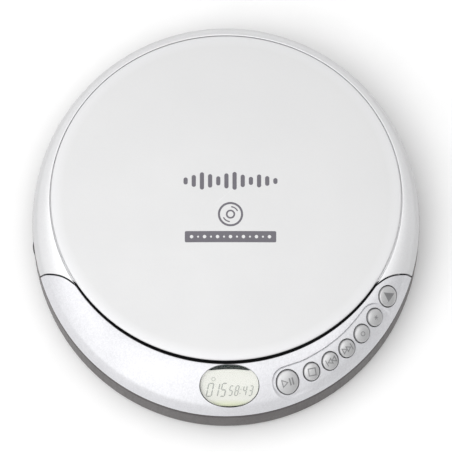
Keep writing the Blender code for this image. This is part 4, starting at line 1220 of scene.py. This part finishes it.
def build_hub():
    """Turntable: rubber-faced seat, and a chamfered boss with three spring balls and a shaft hole."""
    centre = (0.0, DISC_Y)
    seat, boss = 20.2, 7.2
    profile = [(4.0, 14.6), (4.0, 18.9), (14.7, 18.9), (15.0, 19.1), (15.0, seat - 0.25),
               (14.8, seat - 0.04), (14.5, seat), (13.8, seat), (13.7, seat - 0.2), (9.3, seat - 0.2),
               (9.2, seat), (boss + 0.1, seat), (boss, seat + 0.1), (boss, 22.3), (boss - 0.1, 22.5),
               (boss - 1.2, 23.2), (boss - 1.5, 23.3), (4.2, 23.3), (4.0, 23.1), (1.9, 23.1), (1.7, 23.3),
               (0.4, 23.3)]
    hub = make("hub", turned(profile, 128, centre), HUB_BLACK, "spindle", ["turntable"])
    cut(hub, turned([(1.2, 14.0), (1.2, 22.7)], 32, centre))
    for number in (1, 2, 3):
        low, high = box_mm(f"clamp_ball_{number}")
        ball_at = 0.5 * (low + high)
        angle = math.atan2(ball_at.y - DISC_Y, ball_at.x)
        turn = Matrix.Translation((*centre, 0.0)) @ Matrix.Rotation(angle, 4, 'Z')
        cut(hub, moved(rod_x(BALL_RADIUS + 0.24, 4.3, 10.0, 0.0, ball_at.z, 40), turn))
        ball = []
        for k in range(1, 16):
            a = math.pi * k / 16
            ball.append((BALL_RADIUS * math.sin(a), ball_at.z - BALL_RADIUS * math.cos(a)))
        make(f"ball_{number}", turned(ball, 32, (ball_at.x, ball_at.y)), STEEL, f"ball_{number}",
             [f"clamp_ball_{number}"])
    ring = [(9.5, seat - 0.19), (9.5, seat - 0.02), (9.7, seat + 0.02), (13.3, seat + 0.02),
            (13.5, seat - 0.02), (13.5, seat - 0.19)]
    make("hub_ring", turned(ring, 96, centre, closed=True), RUBBER, "spindle")


def build_pickup():
    """Laser sled with its rack, the two rails it runs on, and the lens in its holder."""
    low, high = box_mm("lens_holder")
    centre = middle_mm("lens_holder")[:2]
    holder = [(3.3, low.z), (3.3, 18.0), (3.22, 18.25), (2.95, 18.8), (2.8, high.z), (2.3, high.z),
              (2.2, 18.8), (2.2, 18.1), (2.0, 17.8), (0.3, 17.6)]
    make("holder", turned(holder, 72, centre), PLAIN_BLACK, "lens", ["lens_holder"])
    lens = [(1.85, 18.0), (1.9, 18.2), (1.9, 18.55), (1.8, 18.7)]
    lens += ellipse(1.78, 0.58, 18.7, 6, 12.0, 84.0)    # its dome
    glass = make("objective", turned(lens, 64, centre), LENS_GLASS, "lens", ["pickup_lens"])
    glass.visible_shadow = False
    low, high = box_mm("laser_sled")
    sled = make("sled", rounded_box(18.2, 29.8, -9.2, 17.0, low.z, high.z, 0.9), PLAIN_BLACK, "sled",
                ["laser_sled"])
    pitch = math.tau * 3.0 / 12
    rack_end, rack_root = 29.5, -10.3
    teeth = [(rack_end, -8.4), (low.x, -8.4)]
    tooth = ((0.0, rack_root), (0.12, -10.45), (0.35, -11.15), (0.42, -11.2), (0.58, -11.2), (0.65, -11.15),
             (0.88, -10.45))
    for i in range(int((rack_end - low.x) / pitch)):
        teeth += [(low.x + i * pitch + share * pitch, y) for share, y in tooth]
    teeth.append((rack_end, rack_root))
    join(sled, prism(teeth, 9.2, 11.0))
    for node in ("guide_rod_front", "guide_rod_rear"):
        low, high = box_mm(node)
        y, z = middle_mm(node)[1:]
        cut(sled, rod_x(1.12, 12.0, 40.0, y, z, 32))
        make(node.replace("guide_rod", "rail"), rod_x(0.99, low.x, high.x, y, z, 40), STEEL, "base",
             [node])
    cut(sled, turned([(4.1, 12.4), (4.1, 15.0)], 48, centre))


# ---- keys ----

# A key's crown: share of its oval, and height above the shoulder.
KEY_CROWN = ((1.0, -0.15), (0.995, 0.0), (0.985, 0.10), (0.965, 0.19), (0.935, 0.275), (0.90, 0.335),
             (0.86, 0.375), (0.84, 0.385), (0.78, 0.45), (0.70, 0.525), (0.60, 0.60), (0.50, 0.66),
             (0.38, 0.715), (0.25, 0.755), (0.12, 0.775), (0.02, 0.78))
MARK_TURNS = {"play_pause_button": 18.0, "stop_button": 14.0, "previous_button": 34.0, "next_button": 36.0,
              "mode_button": 0.0, "sound_button": 15.0, "open_button": 3.0}    # degrees


def key_dome(node, x, y):
    """Height of a key's crown above the shoulder at a point of its own plan."""
    width, height = KEY_SIZES[node]
    share = math.hypot(2.0 * x / width, 2.0 * y / height)
    for (outer, low), (inner, high) in zip(KEY_CROWN, KEY_CROWN[1:]):
        if share >= inner:
            return low + (high - low) * (outer - share) / (outer - inner)
    return KEY_CROWN[-1][1]


def build_keys():
    """Key caps on their stems, each with its printed mark."""
    for node, (place, normal) in key_places.items():
        at = tilted(place, normal)
        foot_z, flange = (20.15, 0.0) if node == "open_button" else (19.85, 0.2)
        foot = (foot_z - place.z) / normal.z
        shares = [(0.26, foot, 0.0), (0.26, -3.0, 0.0), (1.0, -3.0, flange), (1.0, -2.7, flange),
                  (1.0, -2.7, 0.0)]
        shares += [(share, z, KEY_TRIM) for share, z in KEY_CROWN]
        levels = []
        for share, z, extra in shares:
            levels.append(([(x * share, y * share) for x, y in key_oval(node, extra)], z))
        body = node.replace("_button", "_key")
        cap = node.replace("_button", "_cap")
        make(cap, moved(stack(levels), at), SILVER_KEY, body, [node])
        build_key_mark(node, at, body)


def triangle(x, half, length):
    """Corners of a triangle that points along X, its flat side at x."""
    return [(x, -half), (x + length, 0.0), (x, half)]


def build_key_mark(node, at, body):
    """The printed symbol on a key: play and pause, stop, skip, or a plain generic mark."""
    def height_at(x, y):
        return key_dome(node, x, y) + 0.004

    def outline(corners, width=0.34):
        return ribbon(polygon_points(corners, 0.3), width, height_at, closed=True)

    def stroke(start, end, width):
        return ribbon(line_points(start, end, 0.3), width, height_at)

    def show(name, marks, ink):
        turn = Matrix.Rotation(math.radians(MARK_TURNS[node]), 4, 'Z')
        make(name, moved(turned_marks(marks, turn, height_at), at), ink, body)

    if node == "play_pause_button":
        marks = [outline(triangle(-2.0, 1.25, 1.9))] + [stroke((x, -1.3), (x, 1.3), 0.55) for x in (0.8, 1.8)]
    elif node == "stop_button":
        marks = [outline([(-1.25, -1.25), (1.25, -1.25), (1.25, 1.25), (-1.25, 1.25)], 0.36)]
    elif node in ("previous_button", "next_button"):
        side = 1 if node == "next_button" else -1
        marks = []
        for start in (-1.95, -0.35):
            corners = [(side * x, y) for x, y in triangle(start, 0.95, 1.45)]
            marks.append(outline(corners[::side]))
        marks.append(stroke((side * 1.6, -1.2), (side * 1.6, 1.2), 0.34))
    elif node == "open_button":
        corners = [(-1.85, 1.1), (0.0, -1.8), (1.85, 1.1)]
        marks = [patch(polygon_points(corners, 0.4), lambda x, y: height_at(x, y) - 0.01)]
        show("open_mark_rim", [outline(corners, 0.3)], KEY_MARK)
    elif node == "mode_button":
        marks = [ribbon(ellipse(0.72, 0.72, 0.0, 28), 0.28, height_at, closed=True)]
    else:
        marks = []
        for k in range(3):
            a = math.radians(60.0 * k)
            end = (0.85 * math.cos(a), 0.85 * math.sin(a))
            marks.append(stroke((-end[0], -end[1]), end, 0.22))
    show(node.replace("_button", "_mark"), marks, KEY_SHADE if node == "open_button" else KEY_MARK)


def turned_marks(marks, turn, height_at):
    """Marks turned about the key's middle, and set back onto its dome."""
    vertices, faces = together(*marks)
    settled = []
    for v in vertices:
        lift = v[2] - height_at(v[0], v[1])
        x, y, _ = turn @ Vector((v[0], v[1], 0.0))
        settled.append(Vector((x, y, height_at(x, y) + lift)))
    return settled, faces


# ---- display ----

SEGMENTS = {"0": "abcdef", "1": "bc", "3": "abcdg", "4": "bcfg", "5": "acdfg", "8": "abcdefg"}


def segment_shapes(width, height, stroke):
    """The seven bars of a digit by letter, each a six-sided outline, from its lower left corner."""
    half, mid, gap = 0.5 * stroke, 0.5 * height, 0.12 * stroke

    def level(y):
        return [(half + gap, y), (stroke + gap, y + half), (width - stroke - gap, y + half),
                (width - half - gap, y), (width - stroke - gap, y - half), (stroke + gap, y - half)]

    def upright(x, y0, y1):
        return [(x, y0 + gap), (x + half, y0 + half + gap), (x + half, y1 - half - gap), (x, y1 - gap),
                (x - half, y1 - half - gap), (x - half, y0 + half + gap)]

    return {"a": level(height - half), "d": level(half), "g": level(mid),
            "b": upright(width - half, mid, height - half), "c": upright(width - half, half, mid),
            "e": upright(half, half, mid), "f": upright(half, mid, height - half)}


def build_display():
    """Liquid crystal cell with its digits, black mask and clear window, tilted with the surface; the mask's
    wide top band is painted shade.
    """
    x, y = middle_mm("display_lens")[:2]
    step = 0.2
    rise_x = (surface_height(x + step, y) - surface_height(x - step, y)) / (2 * step)
    rise_y = (surface_height(x, y + step) - surface_height(x, y - step)) / (2 * step)
    at = tilted(Vector((x, y, surface_height(x, y))), Vector((-rise_x, -rise_y, 1.0)).normalized())
    build_window_lens(x, y)
    z = -2.0                    # the cell's face, below the surface
    cell = prism(window_plan(x, y, 0.15, 6.2), z - 0.9, z)
    make("display_cell", moved(cell, at), display_material((y - 6.6) * MM, (y - 4.2) * MM), "base",
         ["display_panel"])
    low, high = z + 0.06, z + 0.34
    surround = window_plan(x, y, 0.1, 6.85)
    # Painted shade: the opening stops below the cell's top, so the black mask's wide band across the top
    # stands for the shadow under the window's upper edge; the thin band round the other sides is the real
    # mask.
    opening = window_plan(x, y, 0.30, 5.55, 0.010)
    mask = stack([(surround, low), (surround, high), (opening, high), (opening, low)], closed=True)
    make("display_mask", moved(mask, at), MASK_BLACK, "base", ["display_frame"])
    build_digits(at, z)


def window_plan(x, y, inset, limit, arch=0.0):
    """The window's outline in its own tilted frame, cut off at the top by a low arch."""
    stretch = 1.049             # the frame is tilted, so its Y is longer than in plan
    points = []
    for px, py in window_outline(inset, 120):
        dx, dy = px - x, (py - y) * stretch
        points.append((dx, min(dy, limit - arch * dx * dx)))
    return points


def build_window_lens(x, y):
    """Domed clear window that follows the surface, from (share drawn inwards, lift) pairs."""
    rings = []
    levels = ((0.60, -0.25), (0.0, -0.25), (0.0, -0.05), (0.012, 0.06), (0.035, 0.13), (0.07, 0.18),
              (0.15, 0.22), (0.30, 0.27), (0.5, 0.31), (0.7, 0.335), (0.9, 0.35), (0.99, 0.35))
    for inset_share, lift in levels:
        ring = []
        for px, py in window_outline(0.28):
            qx = x + (px - x) * (1.0 - inset_share)
            qy = y + (py - y) * (1.0 - inset_share)
            ring.append((qx, qy, surface_height(qx, qy) + lift))
        rings.append(ring)
    lens = make("window_lens", loft(rings), WINDOW_CLEAR, "base", ["display_lens"])
    lens.visible_shadow = False


def build_digits(at, z):
    """Track and time in slanted seven-bar digits, a colon and a small disc sign."""
    marks = []
    slant = 0.22

    def flat(px, py):
        return z + 0.012

    def digit(symbol, left, base, width, height, stroke):
        shapes = segment_shapes(width, height, stroke)
        for letter in SEGMENTS[symbol]:
            corners = [(left + px + slant * py, base + py) for px, py in shapes[letter]]
            marks.append(patch(corners, flat))

    for symbol, left, width in (("0", -8.45, 2.2), ("1", -6.3, 2.2), ("5", -3.6, 2.0)):
        digit(symbol, left, -4.25, width, 5.0, 0.46)
    for symbol, left in (("5", -0.55), ("8", 1.5), ("4", 4.3), ("3", 6.45)):
        digit(symbol, left, -3.9, 1.45, 3.75, 0.38)
    for height in (-3.0, -1.6):
        marks.append(patch(circle((3.55 + slant * (height + 3.9), height), 0.2, 16), flat))
    marks.append(ribbon(circle((-5.6, 2.0), 0.62, 28), 0.2, flat, closed=True))
    make("display_digits", moved(together(*marks), at), SEGMENT_INK, "base")


# ---- controls, sockets and fixings ----

def build_dial():
    """Volume dial with a knurled rim between two plain bands."""
    low, high = box_mm("volume_dial")
    rim = 0.5 * (high.y - low.y) - 0.02
    ribs, steps, rib_depth = 66, 6, 0.30
    half = ((0.5, 0.0, 0.0), (0.15, 0.1, 0.0), (0.0, 0.25, 0.0), (0.0, 0.42, 0.0), (0.0, 0.5, rib_depth))
    levels = [(inset, low.z + rise, depth) for inset, rise, depth in half]
    levels += [(inset, high.z - rise, depth) for inset, rise, depth in half[::-1]]
    rings = []
    for inset, z, depth in levels:
        ring = []
        for i in range(ribs * steps):
            a = math.tau * i / (ribs * steps)
            radius = rim - inset - depth * (0.5 - 0.5 * math.cos(a * ribs))
            ring.append((DIAL_AT[0] + radius * math.cos(a), DIAL_AT[1] + radius * math.sin(a), z))
        rings.append(ring)
    dial = make("dial", loft(rings), DIAL_BLACK, "dial", ["volume_dial"])
    cut(dial, turned([(1.75, 9.0), (1.75, 14.0)], 40, DIAL_AT))
    cut(dial, turned([(3.2, 11.9), (3.2, 14.0), (5.8, 14.0), (5.8, 11.9)], 64, DIAL_AT, closed=True))


def build_socket(name, node, at, block_x, mouth, rim_radius, bore, entry_radius):
    """A socket: its block, the turned mouth towards the wall, and the bore with a chamfered entry."""
    low, high = box_mm(node)
    socket = make(name, rounded_box(block_x, high.x, low.y, high.y, low.z, high.z, 0.5), SOCKET_BLACK,
                  "base", [node])
    join(socket, turned_x([*mouth, (rim_radius, low.x + 0.02)], *at))
    cut(socket, turned_x([*bore, (entry_radius, low.x - 0.1)], *at))


def build_sockets():
    """Headphone and power sockets with their inner contacts."""
    build_socket("phones_socket", "headphone_jack", PHONES_AT, -64.7, [(2.5, -64.0), (2.5, -67.0)], 2.3,
                 [(1.75, -56.0), (1.75, -66.7)], 2.15)
    sleeve = turned_x([(1.74, -64.5), (1.74, -66.2), (1.55, -66.2), (1.55, -64.5)], *PHONES_AT, closed=True)
    make("phones_sleeve", sleeve, CONTACT_STEEL, "base")
    build_socket("power_socket", "dc_jack", POWER_AT, -57.8, [(3.2, -57.0), (3.2, -60.6)], 3.0,
                 [(2.75, -50.5), (2.75, -60.4)], 2.95)
    pin = turned_x([(0.63, -50.0), (0.63, -59.5), (0.5, -59.85), (0.2, -60.0)], *POWER_AT)
    make("power_pin", pin, CONTACT_STEEL, "base")


def build_feet():
    """Rubber feet with a shallow dish in the middle."""
    for node, at in FEET.items():
        low, high = box_mm(node)
        radius = 0.5 * (high.x - low.x)
        profile = [(0.3, 0.12), (2.6, 0.12), (2.75, 0.02), (2.9, 0.0), (3.8, 0.0), (radius - 0.45, 0.03),
                   (radius - 0.2, 0.13), (radius - 0.05, 0.3), (radius, 0.55), (radius, high.z)]
        make(f"rubber_{node}", turned(profile, 72, at), RUBBER, "base", [node])


def build_screws():
    """Cross-head screws: a domed head, a tapered cross recess and a threaded shank."""
    for node, (x, y) in SCREWS.items():
        low, high = box_mm(node)
        shank = 1.38
        profile = [(0.3, low.z), (1.5, low.z + 0.03), (2.1, low.z + 0.16), (2.42, low.z + 0.38),
                   (2.48, low.z + 0.55), (2.48, 1.69), (shank, 1.69), (shank, 3.2)]
        z = 3.2
        while z < high.z - 1.2:
            profile += [(shank - 0.2, z + 0.2), (shank, z + 0.5), (shank, z + 0.6)]
            z += 0.8
        profile += [(shank - 0.3, high.z - 0.4), (0.5, high.z - 0.02)]
        screw = make(node.replace("case_", ""), turned(profile, 48, (x, y)), STEEL, "base", [node])
        recess = ((1.35, 0.24, 0.5), (0.6, 0.17, 1.5))      # half length, half width, height
        wedge = stack([([(-u, -v), (u, -v), (u, v), (-u, v)], z) for u, v, z in recess])
        for turn in (0.35, 0.35 + 0.5 * math.pi):
            cut(screw, moved(wedge, Matrix.Translation((x, y, 0.0)) @ Matrix.Rotation(turn, 4, 'Z')))


def build_springs():
    """Hinge rod with turned ends, the coil springs and the battery contacts."""
    low, high = box_mm("hinge_rod")
    profile = [(0.3, low.x), (0.7, low.x + 0.02), (0.88, low.x + 0.2), (0.88, high.x - 0.2),
               (0.7, high.x - 0.02), (0.3, high.x)]
    make("hinge_pin", turned_x(profile, HINGE_Y, HINGE_Z), STEEL, "base", ["hinge_rod"])
    for side, node in ((-1, "lid_spring_left"), (1, "lid_spring_right")):
        path = coil((side * 1.4, HINGE_Y, HINGE_Z), (side, 0.0, 0.0), 4.2, 1.55, 1.55, 8.0, 24)
        path.insert(0, path[0] + Vector((0.0, 0.0, -0.6)) + (path[0] - path[1]).normalized() * 1.2)
        make(node.replace("lid_spring", "hinge_spring"), wire(path, 0.2, 10), STEEL, "base", [node])
    low, high = box_mm("battery_spring")
    y, z = middle_mm("battery_spring")[1:]
    path = coil((low.x + 0.32, y, z), (1.0, 0.0, 0.0), high.x - low.x - 0.64, 4.35, 2.6, 4.0, 36)
    make("cell_spring", wire(path, 0.3, 12), CONTACT_STEEL, "base", ["battery_spring"])
    for node, name in (("battery_contact", "cell_contact"), ("battery_bridge", "cell_bridge")):
        low, high = box_mm(node)
        bevel, slit = 0.5, 0.12
        plate = bar([(low.y, low.z + bevel), (low.y + bevel, low.z), (high.y - bevel, low.z),
                     (high.y, low.z + bevel), (high.y, high.z - bevel), (high.y - bevel, high.z),
                     (low.y + bevel, high.z), (low.y, high.z - bevel)], low.x, high.x)
        piece = make(name, plate, CONTACT_STEEL, "base", [node])
        for fold in (low.y + 1.6, high.y - 1.6):
            for x0, x1 in ((low.x - 1.0, high.x - 0.35), (low.x + 0.35, high.x + 1.0)):
                cut(piece, box(x0, x1, fold - slit, fold + slit, low.z + 1.0, high.z - 1.0))


def finish_inside():
    """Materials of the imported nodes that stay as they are."""
    for material, nodes in ((BOARD, ("key_board", "main_board")),
                            (CHIP_BLACK, ("decoder_chip", "servo_chip")),
                            (PLAIN_GREY, ("volume_pot", "mech_chassis", "latch_slider")),
                            (MOTOR_STEEL, ("spindle_motor", "sled_motor")),
                            (STEEL, ("spindle_shaft", "latch_spring")),
                            (WHITE_GEAR, ("sled_gear", "motor_pinion")),
                            (RUBBER, ("key_membrane", "damper_1", "damper_2", "damper_3", "damper_4"))):
        for node in nodes:
            for slot in frame["nodes"][node].material_slots:
                slot.material = material


# ---- stage, lights and camera ----

AIM = Vector((0.0, -2.9, 20.0)) * MM
VIEW_ELEVATION = 74.0
VIEW_DISTANCE = 2234.0 * MM
VIEW_LENS = 500.0               # in millimetres on a 36 mm sensor
LIGHT_DISTANCE = 1.3
# The surround as spans: a direction, the range of the view's share of it, and the strength at both ends.
SURROUND = (((0.0, 0.0, 1.0), 0.0, 0.75, 0.77, 1.0),        # dimmer near the horizon
            ((0.80, -0.40, 0.44), 0.70, 0.98, 0.0, -0.45),  # a dark card at the front right
            ((0.0, 0.88, 0.47), 0.60, 0.97, 0.0, -0.34))    # a dark card behind


def build_floor():
    """A plain pale floor with a very faint texture."""
    graph = Graph("floor", specular=0.2)
    fine = graph.noise(90.0, detail=3.0)
    colour = graph.mix(fine, (0.965, 0.965, 0.965), (0.95, 0.95, 0.95))
    graph.finish(colour, graph.vary(fine, 0.78, 0.84))
    steps, half, thick = 12, 3000.0, 20.0
    along = [-half + 2 * half * i / steps for i in range(steps + 1)]
    grid = [[Vector((x, y, 0.0)) for x in along] for y in along]
    under = [[p - Vector((0.0, 0.0, thick)) for p in row] for row in grid]
    make("floor", sheet_solid(grid, under), graph.material, None)


def add_light(name, direction, size, power):
    data = bpy.data.lights.new(name, 'AREA')
    data.shape = 'DISK'
    data.size = size
    data.energy = power
    light = bpy.data.objects.new(name, data)
    bpy.context.scene.collection.objects.link(light)
    place = Vector(direction).normalized() * LIGHT_DISTANCE
    light.location = place
    light.rotation_euler = (-place).to_track_quat('-Z', 'Y').to_euler()


def build_lights():
    """Three soft lamps in a pale surround; sizes in metres, powers in watts."""
    add_light("key", (-0.8, -0.75, 1.05), 1.2, 3.7)
    add_light("overhead", (-0.15, -0.05, 1.0), 1.3, 4.4)
    add_light("back", (-0.4, 1.0, 0.75), 1.0, 0.5)
    build_surround()
    bpy.context.scene.view_settings.view_transform = 'Standard'


def build_surround():
    """Soft white surround whose strength is the sum of the spans above."""
    world = bpy.data.worlds.new("studio")
    world.use_nodes = True
    tree = world.node_tree
    background = tree.nodes["Background"]
    background.inputs["Color"].default_value = (1.0, 1.0, 1.0, 1.0)
    place = tree.nodes.new("ShaderNodeTexCoord").outputs["Generated"]
    total = None
    for towards, *limits in SURROUND:
        facing = tree.nodes.new("ShaderNodeVectorMath")
        facing.operation = 'DOT_PRODUCT'
        facing.inputs[1].default_value = towards
        tree.links.new(place, facing.inputs[0])
        span = tree.nodes.new("ShaderNodeMapRange")
        tree.links.new(facing.outputs["Value"], span.inputs["Value"])
        for name, number in zip(SPAN_INPUTS, limits):
            span.inputs[name].default_value = number
        if total is None:
            total = span.outputs["Result"]
            continue
        both = tree.nodes.new("ShaderNodeMath")         # adds, by default
        tree.links.new(total, both.inputs[0])
        tree.links.new(span.outputs["Result"], both.inputs[1])
        total = both.outputs[0]
    tree.links.new(total, background.inputs["Strength"])
    bpy.context.scene.world = world


def build_camera():
    data = bpy.data.cameras.new("camera")
    data.lens = VIEW_LENS
    data.sensor_width = 36.0
    data.clip_start = 0.01
    camera = bpy.data.objects.new("camera", data)
    bpy.context.scene.collection.objects.link(camera)
    rise = math.radians(VIEW_ELEVATION)
    camera.location = AIM + VIEW_DISTANCE * Vector((0.0, -math.cos(rise), math.sin(rise)))
    camera.rotation_euler = (AIM - camera.location).to_track_quat('-Z', 'Y').to_euler()
    bpy.context.scene.camera = camera


for build in (build_lid_ring, build_plate, build_plate_print, build_liner, build_panel, build_keys,
              build_display, build_case, build_door, build_well, build_hub, build_pickup, build_dial,
              build_sockets, build_feet, build_screws, build_springs, finish_inside, build_floor,
              build_lights, build_camera):
    build()
